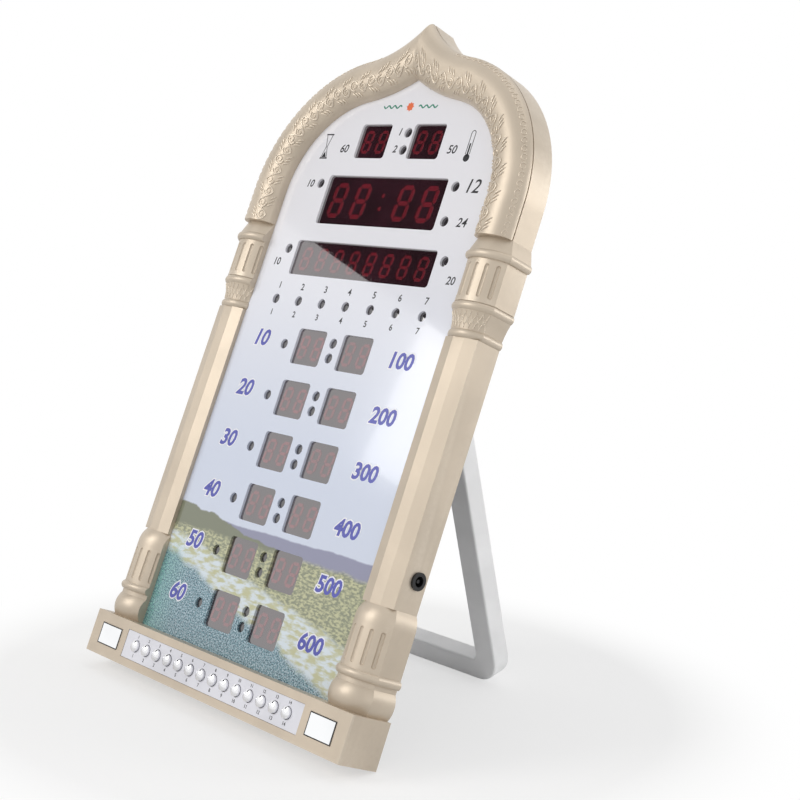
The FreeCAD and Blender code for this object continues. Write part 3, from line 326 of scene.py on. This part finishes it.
def printedFace():
    material, tree, shader = startMaterial("printedFace")
    place = useGroup(tree, clockPlace).outputs["Place"]
    split = tree.nodes.new("ShaderNodeSeparateXYZ")
    tree.links.new(place, split.inputs["Vector"])
    acrossFace, up = split.outputs["X"], split.outputs["Z"]

    def noise(scale, detail=4.0, stretch=None):
        node = addNode(tree, "ShaderNodeTexNoise", Scale=scale, Detail=detail)
        source = place
        if stretch:
            mapping = tree.nodes.new("ShaderNodeMapping")
            mapping.inputs["Scale"].default_value = stretch
            tree.links.new(place, mapping.inputs["Vector"])
            source = mapping.outputs["Vector"]
        tree.links.new(source, node.inputs["Vector"])
        return node.outputs["Fac"]

    def over(height, slope, wave, scale, soft):  # 1 below a wavy line
        drift = mathNode(tree, "SUBTRACT", noise(scale, 5.0, (1, 1, 0.15)), 0.5)
        bend = mathNode(tree, "MULTIPLY", drift, wave)
        line = mathNode(tree, "ADD", mathNode(tree, "MULTIPLY", acrossFace, slope), bend)
        line = mathNode(tree, "ADD", line, height)
        return ramp(tree, mathNode(tree, "SUBTRACT", line, up), -soft, soft)

    look = printLook
    colour = mixColour(tree, ramp(tree, up, 120.0, 300.0), look["skyLow"], look["skyHigh"])
    colour = mixColour(tree, over(96.5, 0.0, 5, 0.035, 0.6), colour, look["ridge"])
    hillMask = over(90.3, -0.135, 9, 0.05, 0.6)
    colour = mixColour(tree, hillMask, colour, look["hill"])
    patches = ramp(tree, noise(0.35, 6.0, (1, 1, 2.2)), 0.42, 0.6)
    plain = mixColour(tree, patches, look["plainDark"], look["plain"])
    colour = mixColour(tree, over(87.5, 0.0, 6, 0.05, 1.8), colour, plain)
    stripes = ramp(tree, noise(0.12, 3.0, (1, 1, 3.0)), 0.4, 0.62)
    bandColour = mixColour(tree, stripes, look["band"], look["plain"])
    colour = mixColour(tree, over(67.5, -0.19, 7, 0.05, 2.5), colour, bandColour)
    speckle = ramp(tree, noise(1.1, 8.0), 0.44, 0.58)
    meadow = mixColour(tree, speckle, look["meadow"], look["meadowLight"])
    dark = ramp(tree, noise(1.2, 8.0), 0.50, 0.60)
    meadow = mixColour(tree, dark, meadow, look["meadowDark"])
    colour = mixColour(tree, over(48.5, -0.28, 10, 0.05, 3.0), colour, meadow)
    corner = mathNode(tree, "MULTIPLY", ramp(tree, acrossFace, -55.0, -88.0), over(72, 0.0, 16, 0.05, 10.0))
    corner = mathNode(tree, "MULTIPLY", corner, 0.75)
    colour = mixColour(tree, mathNode(tree, "MULTIPLY", corner, speckle), colour, look["teal"])
    tree.links.new(colour, shader.inputs["Base Color"])
    fleck = useGroup(tree, satinGrain, Place=place, Grain_Scale=6.0)
    rough = mathNode(tree, "ADD", mathNode(tree, "MULTIPLY", fleck.outputs["Fleck"], 0.04), 0.1)
    tree.links.new(rough, shader.inputs["Roughness"])
    shader.inputs["Coat Weight"].default_value = 0.5
    shader.inputs["Coat Roughness"].default_value = 0.04
    return material


materials["printedFace"] = printedFace()


def inkMaterial(name, colour):
    return finishMaterial(name, {"colour": colour, "rough": 0.25, "bump": 0.01, "fleck": 0.08})


materials["inkBlack"] = inkMaterial("inkBlack", (0.02, 0.02, 0.024))
materials["inkBlue"] = inkMaterial("inkBlue", (0.105, 0.115, 0.47))
materials["inkWhite"] = inkMaterial("inkWhite", (0.88, 0.88, 0.92))
materials["inkGreen"] = inkMaterial("inkGreen", (0.02, 0.25, 0.16))
materials["inkOrange"] = inkMaterial("inkOrange", (0.86, 0.19, 0.08))
print("materials ready")

# ---- finishes on the carried-over pieces ----
nodeFinish = {
    "front_frame": "champagnePaint", "back_cover": "coverPlastic", "face_panel": "printedFace",
    "display_filter": "filterDark", "main_board": "boardGreen", "key_board": "boardGreen",
    "indicator_leds": "lampResin", "ir_receiver": "blackPlastic", "speaker": "speakerPaint",
    "cell_holder": "blackPlastic", "backup_cell": "zincSteel", "label_strip": "stripPrint",
    "mirror_tile_left": "mirrorGlass", "mirror_tile_right": "mirrorGlass",
    "tact_switches": "blackPlastic", "dc_socket": "blackPlastic", "dc_socket_nut": "zincSteel",
    "cover_screws": "zincSteel", "stand_pins": "zincSteel", "stand": "standPlastic",
}
for nodeName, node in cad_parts.items():
    finish = nodeFinish.get(nodeName)
    if nodeName.startswith("button_cap"):
        finish = "keyChrome"
    elif "digits" in nodeName:
        finish = "modulePotting"
    node.data.materials.clear()
    node.data.materials.append(materials[finish])
print("pieces finished")


def addMesh(name, mesh, finish, body="clock"):
    thing = bpy.data.objects.new(name, mesh)
    bpy.context.scene.collection.objects.link(thing)
    mesh.materials.clear()
    mesh.materials.append(materials[finish])
    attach(thing, body)
    return thing


def meshOf(name, corners, faces):
    mesh = bpy.data.meshes.new(name)
    mesh.from_pydata([onClock(*corner) for corner in corners], [], faces)
    mesh.validate()
    return mesh


def curveMesh(name, runs, radius, sides=2, cyclic=False):
    # thin rods along runs of points given in clock millimetres
    curve = bpy.data.curves.new(name + "Line", "CURVE")
    curve.dimensions = "3D"
    curve.bevel_depth = radius / 1000
    curve.bevel_resolution = sides
    curve.use_fill_caps = True
    for run in runs:
        spline = curve.splines.new("POLY")
        spline.points.add(len(run) - 1)
        for point, spot in zip(spline.points, run):
            thin = spot[3] if len(spot) > 3 else 1.0
            point.co = (*onClock(*spot[:3]), 1)
            point.radius = thin
        spline.use_cyclic_u = cyclic
    holder = bpy.data.objects.new(name + "Line", curve)
    bpy.context.scene.collection.objects.link(holder)
    bpy.context.view_layer.update()
    mesh = bpy.data.meshes.new_from_object(holder.evaluated_get(bpy.context.evaluated_depsgraph_get()))
    bpy.data.objects.remove(holder)
    mesh.name = name
    for polygon in mesh.polygons:
        polygon.use_smooth = True
    return mesh


# ---- arch moulding: the surface that the carving follows ----
arch = {
    "mid": 98.3, "band": 25.0, "spring": 276.5, "turnOut": 26.0, "turnRise": 21.5,
    "turn": 80.0, "top": 404.0, "apexBand": 34.0, "swell": 10.0, "start": 1.5,
}


def archPoint(inset, share):
    apexHigh = arch["top"] - inset * arch["apexBand"] / arch["band"]
    centreX, centreZ = arch["turnOut"], arch["spring"] + arch["turnRise"]
    bigRadius = arch["mid"] + arch["band"] / 2 - inset - centreX
    angle = math.radians(arch["turn"])
    reach = -centreX * math.cos(angle) + (apexHigh - centreZ) * math.sin(angle)
    square = centreX ** 2 + (apexHigh - centreZ) ** 2
    backRadius = (square - 2 * bigRadius * reach + bigRadius ** 2) / (2 * (reach - bigRadius))
    span = bigRadius + backRadius
    backX, backZ = centreX + span * math.cos(angle), centreZ + span * math.sin(angle)
    if share < 0.12:
        return centreX + bigRadius, arch["spring"] + arch["turnRise"] * share / 0.12
    if share < 0.7:
        here = angle * (share - 0.12) / 0.58
        return centreX + bigRadius * math.cos(here), centreZ + bigRadius * math.sin(here)
    startAngle = angle + math.pi
    endAngle = math.atan2(apexHigh - backZ, -backX) % (2 * math.pi)
    here = startAngle + (endAngle - startAngle) * (share - 0.7) / 0.3
    return backX + backRadius * math.cos(here), backZ + backRadius * math.sin(here)


def archLengths():
    table = [(0.0, 0.0)]
    total = 0.0
    last = Vector(archPoint(12.5, 0))
    for step in range(1, 401):
        here = Vector(archPoint(12.5, step / 400))
        total += (here - last).length
        table.append((total, step / 400))
        last = here
    return table


lengthTable = archLengths()
archLong = lengthTable[-1][0]


def shareAt(length):
    length = max(0.0, min(archLong - 0.01, length))
    low = 0
    high = len(lengthTable) - 1
    while high - low > 1:
        middle = (low + high) // 2
        if lengthTable[middle][0] <= length:
            low = middle
        else:
            high = middle
    first, second = lengthTable[low], lengthTable[high]
    part = (length - first[0]) / (second[0] - first[0])
    return first[1] + (second[1] - first[1]) * part


def onMoulding(length, turn, side, lift=0.0):
    # a point on the half oval: turn is 0 at the outer foot, 180 at the inner one
    share = shareAt(length)
    innerX, innerZ = archPoint(arch["band"], share)
    outerX, outerZ = archPoint(0, share)
    angle = math.radians(turn)
    wide = math.cos(angle) / 2
    x = (innerX + outerX) / 2 + (outerX - innerX) * wide
    z = (innerZ + outerZ) / 2 + (outerZ - innerZ) * wide
    deep = arch["swell"] - arch["start"] + lift
    y = -arch["start"] - deep * math.sin(angle)
    return side * x, y, z


carving = {
    "rod": 0.42,          # mm, half thickness of a tendril
    "wave": 15.0,         # mm, length of one wave of the vine
    "middle": 118.0,      # degrees round the oval
    "swing": 20.0,        # degrees the vine swings to either side
    "curlPitch": 4.4,     # mm between curls of the outer chain
    "curlTurn": 33.0,     # degrees round the oval
}
degreePerMm = 180 / 33.0


def vineRuns(side):
    rng = random.Random(5 if side > 0 else 6)
    runs = []
    look = carving
    stem = []
    steps = int(archLong / 1.0)
    for step in range(steps):
        length = step * archLong / steps
        phase = 2 * math.pi * length / look["wave"]
        stem.append((*onMoulding(length, look["middle"] + look["swing"] * math.sin(phase), side, 0.1), 1.0))
    runs.append(stem)
    count = int(archLong / look["wave"] * 2)
    for k in range(count):
        hand = 1 if k % 2 else -1
        centre = (k + 0.5) * look["wave"] / 2
        turnMid = look["middle"] - hand * look["swing"] * 0.25
        size = 3.6 * rng.uniform(0.9, 1.1)
        spiral = []
        for step in range(26):
            grow = step / 25
            radius = size * (1 - 0.85 * grow)
            angle = hand * (math.pi * 0.5 + grow * 3.4 * math.pi)
            length = centre + radius * math.cos(angle)
            turn = turnMid + radius * math.sin(angle) * degreePerMm * 0.8
            spiral.append((*onMoulding(length, turn, side, 0.12), 1.1 - 0.6 * grow))
        runs.append(spiral)
        for leaf in range(3):  # small leaves off the vine, towards both edges
            base = centre + (leaf - 1) * 2.4
            outward = look["middle"] + hand * look["swing"] * (0.75 + 0.1 * leaf)
            blade = []
            for step in range(7):
                part = step / 6
                length = base + 2.6 * part + 0.5 * math.sin(part * math.pi)
                turn = outward + hand * part * 3.6 * degreePerMm
                turn = min(172.0, max(56.0, turn))
                swell = 1.5 * math.sin(math.pi * (0.12 + 0.8 * part))
                blade.append((*onMoulding(length, turn, side, 0.05), swell))
            runs.append(blade)
    return runs


def curlRuns(side):
    runs = []
    pitch = carving["curlPitch"]
    for k in range(int((archLong - 30) / pitch)):
        centre = 2.0 + k * pitch
        curl = []
        for step in range(13):
            grow = step / 12
            angle = math.radians(-60 + 330 * grow)
            radius = 1.75 * (1 - 0.25 * grow)
            length = centre + radius * math.cos(angle)
            turn = carving["curlTurn"] + radius * math.sin(angle) * degreePerMm
            curl.append((*onMoulding(length, turn, side, 0.05), 0.95 - 0.35 * grow))
        runs.append(curl)
    return runs


# the vines and curls take the lighter champagne copy, a painted highlight on the relief
for side, label in ((1, "Right"), (-1, "Left")):
    vine = curveMesh("archVine" + label, vineRuns(side), carving["rod"])
    addMesh("archVine" + label, vine, "carvedPaintHighlit")
    curls = curveMesh("archCurls" + label, curlRuns(side), 0.34)
    addMesh("archCurls" + label, curls, "carvedPaintHighlit")
print("arch carved")

# ---- engraved necks between the two upper rings ----
neck = {
    "axisX": 98.3, "axisY": 10.0, "swell": 3.8, "lowHalf": 11.7, "highHalf": 14.0,
    "low": 226.0, "high": 236.0, "repeats": 9, "reach": 62.0,
}


def neckPoint(angle, high, side):
    part = (high - neck["low"]) / (neck["high"] - neck["low"])
    half = neck["lowHalf"] + (neck["highHalf"] - neck["lowHalf"]) * part
    half -= 0.5 * math.sin(math.pi * part)
    radius = half + neck["swell"] + 0.1
    x = neck["axisX"] + radius * math.sin(math.radians(angle))
    return side * x, neck["axisY"] - radius * math.cos(math.radians(angle)), high


def neckRuns(side):
    runs = []
    step = 2 * neck["reach"] / neck["repeats"] / 2
    for k in range(neck["repeats"]):
        middle = -neck["reach"] + (k + 0.5) * neck["reach"] * 2 / neck["repeats"]
        for hand in (-1, 1):
            run = []
            for point in range(9):
                part = point / 8
                angle = middle + hand * step * math.cos(part * math.pi)
                run.append((*neckPoint(angle * 0.8, neck["low"] + 0.6 + part * 8.8, side), 1.0))
            runs.append(run)
        bud = []
        for point in range(9):
            angle = 2 * math.pi * point / 8
            across = (middle + 2.2 * math.cos(angle)) * 0.8
            bud.append((*neckPoint(across, 231 + 1.5 * math.sin(angle), side), 0.9))
        runs.append(bud)
    return runs


# the neck leaves take the lighter champagne copy, a painted highlight on the relief
for side, label in ((1, "Right"), (-1, "Left")):
    leaves = curveMesh("neckLeaves" + label, neckRuns(side), 0.3)
    addMesh("neckLeaves" + label, leaves, "carvedPaintHighlit")
print("necks carved")

# ---- seven-segment digits under the windows ----
digits = {
    "plane": 1.46,      # mm behind the face, just ahead of the filter
    "slant": 0.10,
    "bar": 0.13,        # bar width as a share of the digit's height
}


def segmentFaces(centreX, centreZ, wide, high):
    thick = high * digits["bar"]
    half = high / 2
    shapes = []
    gapSize = thick * 0.12
    for level in (-half, 0, half):
        z = centreZ + level * (1 - digits["bar"] / 1.0)
        left = -wide / 2 + thick * 0.5 + gapSize
        right = wide / 2 - thick * 0.5 - gapSize
        shapes.append([(left, z), (left + thick / 2, z + thick / 2), (right - thick / 2, z + thick / 2),
                       (right, z), (right - thick / 2, z - thick / 2), (left + thick / 2, z - thick / 2)])
    for x in (-wide / 2 + thick / 2, wide / 2 - thick / 2):
        for level in (-1, 1):
            low = centreZ + (gapSize if level > 0 else -half * (1 - digits["bar"]) + gapSize)
            top = centreZ + (half * (1 - digits["bar"]) - gapSize if level > 0 else -gapSize)
            shapes.append([(x, low), (x + thick / 2, low + thick / 2), (x + thick / 2, top - thick / 2),
                           (x, top), (x - thick / 2, top - thick / 2), (x - thick / 2, low + thick / 2)])
    return [
        [(centreX + x + (z - centreZ) * digits["slant"], z) for x, z in shape] for shape in shapes
    ]


def discShape(centreX, centreZ, radius, sides=20):
    return [
        (
            centreX + radius * math.cos(2 * math.pi * k / sides),
            centreZ + radius * math.sin(2 * math.pi * k / sides),
        )
        for k in range(sides)
    ]


def platesMesh(name, shapes, front, rear):
    # each outline in x and z becomes a thin plate between two depths
    corners = []
    faces = []
    for shape in shapes:
        start = len(corners)
        count = len(shape)
        corners += [(x, front, z) for x, z in shape] + [(x, rear, z) for x, z in shape]
        faces.append(list(range(start, start + count)))
        faces.append(list(range(start + 2 * count - 1, start + count - 1, -1)))
        for k in range(count):
            after = (k + 1) % count
            faces.append([start + k, start + count + k, start + count + after, start + after])
    mesh = meshOf(name, corners, faces)
    work = bmesh.new()
    work.from_mesh(mesh)
    bmesh.ops.recalc_face_normals(work, faces=work.faces)
    work.to_mesh(mesh)
    work.free()
    return mesh


segments = []
for row in range(6):
    middle = 215.2 - 21.3 / 2 - row * 31.3
    for sign in (-1, 1):
        for cell in (-1, 1):
            segments += segmentFaces(sign * 19.55 + cell * 5.9, middle, 7.6, 14.4)
for sign in (-1, 1):
    for cell in (-1, 1):
        segments += segmentFaces(sign * 22.2 + cell * 6.0, 332.0, 7.6, 14.4)
for x in (-37.5, -18.0, 18.0, 37.5):
    segments += segmentFaces(x, 295.0, 12.0, 22.0)
for x in range(8):
    segments += segmentFaces(-49.0 + x * 14.0, 257.6, 8.0, 14.4)
for z in (291.0, 299.0):
    segments.append(discShape(0.0, z, 1.3))
addMesh("digitBars", platesMesh("digitBars", segments, digits["plane"], 1.6), "segmentRed")
print("digits drawn")

# ---- round lamp windows ----
lampSpots = [((k - 3) * 20.8, 231.0) for k in range(7)]
lampSpots += [(5.3, 337.3), (5.3, 326.7), (56.3, 305.5), (56.3, 285.2), (-56.3, 304.8)]
lampSpots += [(-65.8, 262.7), (65.8, 262.7)]
for row in range(6):
    middle = 215.2 - 21.3 / 2 - row * 31.3
    lampSpots += [(-41.6, middle), (0.0, middle + 4.4), (0.0, middle - 4.4)]


def lensMesh(name, spots, radius, rise, base):
    corners = []
    faces = []
    rings = 4
    sides = 20
    for x, z in spots:
        start = len(corners)
        for ring in range(rings):
            angle = ring / rings * math.pi / 2
            for k in range(sides):
                turn = 2 * math.pi * k / sides
                spread = radius * math.cos(angle)
                depth = base - rise * math.sin(angle)
                corners.append((x + spread * math.cos(turn), depth, z + spread * math.sin(turn)))
        corners.append((x, base - rise, z))
        for ring in range(rings - 1):
            for k in range(sides):
                after = (k + 1) % sides
                here = start + ring * sides
                faces.append([here + k, here + after, here + sides + after, here + sides + k])
        tip = start + rings * sides
        here = start + (rings - 1) * sides
        for k in range(sides):
            faces.append([here + k, here + (k + 1) % sides, tip])
        faces.append([start + k for k in reversed(range(sides))])
    mesh = meshOf(name, corners, faces)
    for polygon in mesh.polygons:
        polygon.use_smooth = len(polygon.vertices) < 5
    work = bmesh.new()
    work.from_mesh(mesh)
    bmesh.ops.recalc_face_normals(work, faces=work.faces)
    work.to_mesh(mesh)
    work.free()
    return mesh


addMesh("lampLenses", lensMesh("lampLenses", lampSpots, 2.8, 0.15, 1.5), "lampLens")

# ---- printed numbers ----
marks = {"plane": -0.02, "behind": -0.01, "rear": 0.05}


def numberMesh(name, items, front, rear, grow=0.0, weight=0.0):
    # items are (text, x, z, height, slant); the numbers are built flat and stood on the face
    joined = bmesh.new()
    for text, x, z, high, slant in items:
        curve = bpy.data.curves.new(name + "Type", "FONT")
        curve.body = text
        curve.size = high * 1.42
        curve.align_x = "CENTER"
        curve.align_y = "CENTER"
        curve.shear = slant
        curve.offset = grow + weight
        curve.resolution_u = 3
        curve.extrude = (rear - front) / 2
        holder = bpy.data.objects.new(name + "Type", curve)
        bpy.context.scene.collection.objects.link(holder)
        bpy.context.view_layer.update()
        flat = bpy.data.meshes.new_from_object(holder.evaluated_get(bpy.context.evaluated_depsgraph_get()))
        bpy.data.objects.remove(holder)
        for vertex in flat.vertices:
            u, v, w = vertex.co
            vertex.co = onClock(x + u, (front + rear) / 2 - w, z + v)
        joined.from_mesh(flat)
        bpy.data.meshes.remove(flat)
    mesh = bpy.data.meshes.new(name)
    joined.to_mesh(mesh)
    joined.free()
    return mesh


rowMarks = []
for row in range(6):
    middle = 215.2 - 21.3 / 2 - row * 31.3
    rowMarks.append((str((row + 1) * 100), 57.0, middle, 9.0, 0.12))
    rowMarks.append((str((row + 1) * 10), -64.0, middle + 1.5, 9.5, 0.2))
rowEdge = numberMesh("rowNumbersEdge", rowMarks, marks["behind"], marks["rear"], 0.75, 0.4)
addMesh("rowNumbersEdge", rowEdge, "inkWhite")
rowFill = numberMesh("rowNumbers", rowMarks, marks["plane"] - 0.03, marks["rear"], 0.0, 0.4)
addMesh("rowNumbers", rowFill, "inkBlue")
smallMarks = []
for k in range(7):
    smallMarks.append((str(k + 1), (k - 3) * 20.8, 239.5, 4.0, 0.0))
    smallMarks.append((str(k + 1), (k - 3) * 20.8, 222.5, 3.6, 0.0))
smallMarks += [("12", 69.0, 305.7, 8.0, 0.2), ("24", 69.5, 284.8, 5.2, 0.2), ("10", -66.0, 304.4, 4.6, 0.2)]
smallMarks += [("10", -73.0, 254.0, 4.6, 0.1), ("20", 75.0, 252.0, 4.6, 0.1)]
smallMarks += [("1", -1.5, 337.6, 4.4, 0.2), ("2", -1.5, 327.0, 4.4, 0.2)]
smallMarks += [("60", -45.5, 327.0, 5.0, 0.2), ("50", 44.5, 327.0, 5.0, 0.2)]
smallFill = numberMesh("smallNumbers", smallMarks, marks["plane"], marks["rear"], 0.0, 0.1)
addMesh("smallNumbers", smallFill, "inkBlack")

# ---- small pictures beside the upper windows: a thermometer, an hourglass, a star ----


def ribbon(points, wide):
    # a flat stroke of even width along points
    left = []
    right = []
    for k, (x, z) in enumerate(points):
        before = Vector(points[max(0, k - 1)])
        after = Vector(points[min(len(points) - 1, k + 1)])
        along = (after - before).normalized()
        left.append((x - along.y * wide / 2, z + along.x * wide / 2))
        right.append((x + along.y * wide / 2, z - along.x * wide / 2))
    return left + right[::-1]


def pictures():
    shapes = [ribbon([(56.0, 324.5), (56.0, 337.0)], 0.5), ribbon([(59.0, 324.5), (59.0, 337.0)], 0.5)]
    cap = [
        (57.5 + 1.5 * math.cos(a * math.pi / 6), 337.0 + 1.5 * math.sin(a * math.pi / 6))
        for a in range(7)
    ]
    shapes.append(ribbon(cap, 0.5))
    shapes.append(ribbon([(57.5, 323.0), (57.5, 331.0)], 1.2))
    shapes.append(discShape(57.5, 322.4, 2.3))
    for z in (318.8 + 2.2, 336.2):
        shapes.append(ribbon([(-65.3, z), (-58.7, z)], 0.8))
    shapes.append(ribbon([(-64.5, 321.3), (-62.4, 328.4), (-64.5, 336.0)], 0.5))
    shapes.append(ribbon([(-59.5, 321.3), (-61.6, 328.4), (-59.5, 336.0)], 0.5))
    shapes.append([(-63.9, 321.6), (-60.1, 321.6), (-62.0, 325.4)])
    return shapes


pictureFill = platesMesh("smallPictures", pictures(), marks["plane"], marks["rear"])
addMesh("smallPictures", pictureFill, "inkBlack")
star = []
for k in range(16):
    radius = 3.1 if k % 2 == 0 else 2.2
    star.append((radius * math.sin(math.pi * k / 8), 353.5 + radius * math.cos(math.pi * k / 8)))
addMesh("topStar", platesMesh("topStar", [star], marks["plane"], marks["rear"]), "inkOrange")
waves = []
for side in (-1, 1):
    points = [(side * (7.0 + 0.9 * k), 353.5 + 0.9 * math.sin(k * 1.15)) for k in range(18)]
    waves.append(ribbon(points if side > 0 else points[::-1], 0.9))
waveMesh = []
for shape in waves:
    half = len(shape) // 2
    for k in range(half - 1):
        waveMesh.append([shape[k], shape[k + 1], shape[-k - 2], shape[-k - 1]])
waveFill = platesMesh("topWaves", waveMesh, marks["plane"], marks["rear"])
addMesh("topWaves", waveFill, "inkGreen")

# ---- key strip marks and tile borders ----
strip = {"front": -11.83, "rear": -11.75, "pitch": 10.6}
keyMarks = []
for k in range(14):
    x = (k - 6.5) * strip["pitch"]
    keyMarks.append((str(k + 1), x, 18.3, 1.7, 0.0))
    keyMarks.append((str(k + 1), x, 7.2, 1.9, 0.0))
keyFill = numberMesh("keyNumbers", keyMarks, strip["front"], strip["rear"], 0.0, 0.05)
addMesh("keyNumbers", keyFill, "inkBlack")


def frameBars(x0, x1, z0, z1, wide):
    return [
        [(x0, z0), (x1, z0), (x1, z0 + wide), (x0, z0 + wide)],
        [(x0, z1 - wide), (x1, z1 - wide), (x1, z1), (x0, z1)],
        [(x0, z0 + wide), (x0 + wide, z0 + wide), (x0 + wide, z1 - wide), (x0, z1 - wide)],
        [(x1 - wide, z0 + wide), (x1, z0 + wide), (x1, z1 - wide), (x1 - wide, z1 - wide)],
    ]


borders = []
for x0 in (-105.5, 85.6):
    borders += frameBars(x0, x0 + 19.9, 6.5, 18.7, 0.5)
addMesh("tileBorders", platesMesh("tileBorders", borders, -12.36, -12.2), "inkBlack")
print("marks printed")

# ---- camera, floor and light ----
shot = {
    "place": (0.631327, -0.559485, 0.275611),
    "turn": (1.44646701, -0.05356845, 0.81596005),
    "focalPixels": 1489.278,
    "imagePixels": 800.0,
}
camera = bpy.data.cameras.new("mainCamera")
camera.sensor_width = 36.0
camera.lens = shot["focalPixels"] * 36.0 / shot["imagePixels"]
camera.clip_start = 0.01
cameraHolder = bpy.data.objects.new("mainCamera", camera)
cameraHolder.location = shot["place"]
cameraHolder.rotation_euler = Euler(shot["turn"], "XYZ")
bpy.context.scene.collection.objects.link(cameraHolder)
bpy.context.scene.camera = cameraHolder

studio = {
    "worldLight": 0.52,
    "floorColour": (0.94, 0.94, 0.94),
    "floorGlow": 0.55,
    "lamps": (
        # place, aim, size, watts, tint
        ((-1.0, -1.5, 1.3), (0, 0, 0.2), 1.1, 17.0, (1.0, 0.985, 0.96)),
        ((1.5, -0.9, 0.8), (0, 0, 0.2), 0.7, 1.2, (0.97, 0.98, 1.0)),
        ((0.1, 0.5, 1.8), (0, 0, 0.2), 1.2, 3.0, (1.0, 1.0, 1.0)),
        ((1.0, 0.9, 0.5), (0.1, 0.1, 0.1), 0.6, 4.0, (1.0, 1.0, 1.0)),
    ),
}


def addLamp(number, place, aim, size, watts, tint):
    light = bpy.data.lights.new("softLamp%d" % number, "AREA")
    light.size = size
    light.energy = watts
    light.color = tint
    holder = bpy.data.objects.new("softLamp%d" % number, light)
    holder.location = place
    holder.rotation_euler = (Vector(aim) - Vector(place)).to_track_quat("-Z", "Y").to_euler()
    bpy.context.scene.collection.objects.link(holder)


for number, lamp in enumerate(studio["lamps"], 1):
    addLamp(number, *lamp)

# a dark card that the upper windows mirror
card = {"middle": (-0.98, -0.64, 0.97), "wide": 0.62, "tall": 0.40}
cardMesh = bpy.data.meshes.new("darkCard")
half = (card["wide"] / 2, card["tall"] / 2)
cardMesh.from_pydata(
    [(-half[0], -half[1], 0), (half[0], -half[1], 0), (half[0], half[1], 0), (-half[0], half[1], 0)],
    [], [[0, 1, 2, 3]],
)
darkCard = bpy.data.objects.new("darkCard", cardMesh)
darkCard.location = card["middle"]
darkCard.rotation_euler = (Vector((0, 0.03, 0.3)) - darkCard.location).to_track_quat("Z", "Y").to_euler()
bpy.context.scene.collection.objects.link(darkCard)
cardMaterial, _, cardShader = startMaterial("darkCard")
cardShader.inputs["Base Color"].default_value = (0.01, 0.01, 0.01, 1)
cardShader.inputs["Roughness"].default_value = 1.0
cardMesh.materials.append(cardMaterial)

world = bpy.data.worlds.new("studioWorld")
bpy.context.scene.world = world
world.use_nodes = True
worldTree = world.node_tree
background = worldTree.nodes["Background"]
lightPath = worldTree.nodes.new("ShaderNodeLightPath")
shown = mathNode(worldTree, "MAXIMUM", lightPath.outputs["Is Camera Ray"], lightPath.outputs["Is Glossy Ray"])
shown = mathNode(worldTree, "MAXIMUM", shown, lightPath.outputs["Is Transmission Ray"])
strength = mathNode(worldTree, "MULTIPLY", shown, 1.0 - studio["worldLight"])
worldTree.links.new(mathNode(worldTree, "ADD", strength, studio["worldLight"]), background.inputs["Strength"])
background.inputs["Color"].default_value = (1, 1, 1, 1)

floorMesh = bpy.data.meshes.new("paleFloor")
floorReachOut, floorDrop = 6, -0.0005  # m, half width and height of the floor
floorMesh.from_pydata(
    [
        (x * floorReachOut, z * floorReachOut, floorDrop)
        for x, z in ((-1, -1), (1, -1), (1, 1), (-1, 1))
    ],
    [], [[0, 1, 2, 3]],
)
paleFloor = bpy.data.objects.new("paleFloor", floorMesh)
bpy.context.scene.collection.objects.link(paleFloor)
floorMaterial, floorTree, floorShader = startMaterial("paleFloor")
floorShader.inputs["Base Color"].default_value = (*studio["floorColour"], 1)
floorShader.inputs["Roughness"].default_value = 0.9
# the floor fades to plain white away from the clock, and keeps its shadow near it
floorPlace = floorTree.nodes.new("ShaderNodeTexCoord")
floorReach = addNode(floorTree, "ShaderNodeVectorMath", operation="LENGTH")
floorTree.links.new(floorPlace.outputs["Object"], floorReach.inputs[0])
farAway = ramp(floorTree, floorReach.outputs["Value"], 0.11, 0.27)
farAway = mathNode(floorTree, "MAXIMUM", farAway, studio["floorGlow"])
floorRays = floorTree.nodes.new("ShaderNodeLightPath")
farAway = mathNode(floorTree, "MULTIPLY", farAway, floorRays.outputs["Is Camera Ray"])
floorWhite = addNode(floorTree, "ShaderNodeEmission", Color=(1, 1, 1, 1), Strength=1.0)
floorMix = floorTree.nodes.new("ShaderNodeMixShader")
floorTree.links.new(farAway, floorMix.inputs[0])
floorTree.links.new(floorShader.outputs[0], floorMix.inputs[1])
floorTree.links.new(floorWhite.outputs[0], floorMix.inputs[2])
floorTree.links.new(floorMix.outputs[0], floorTree.nodes["Material Output"].inputs["Surface"])
floorMesh.materials.append(floorMaterial)

bpy.context.scene.view_settings.view_transform = "Standard"
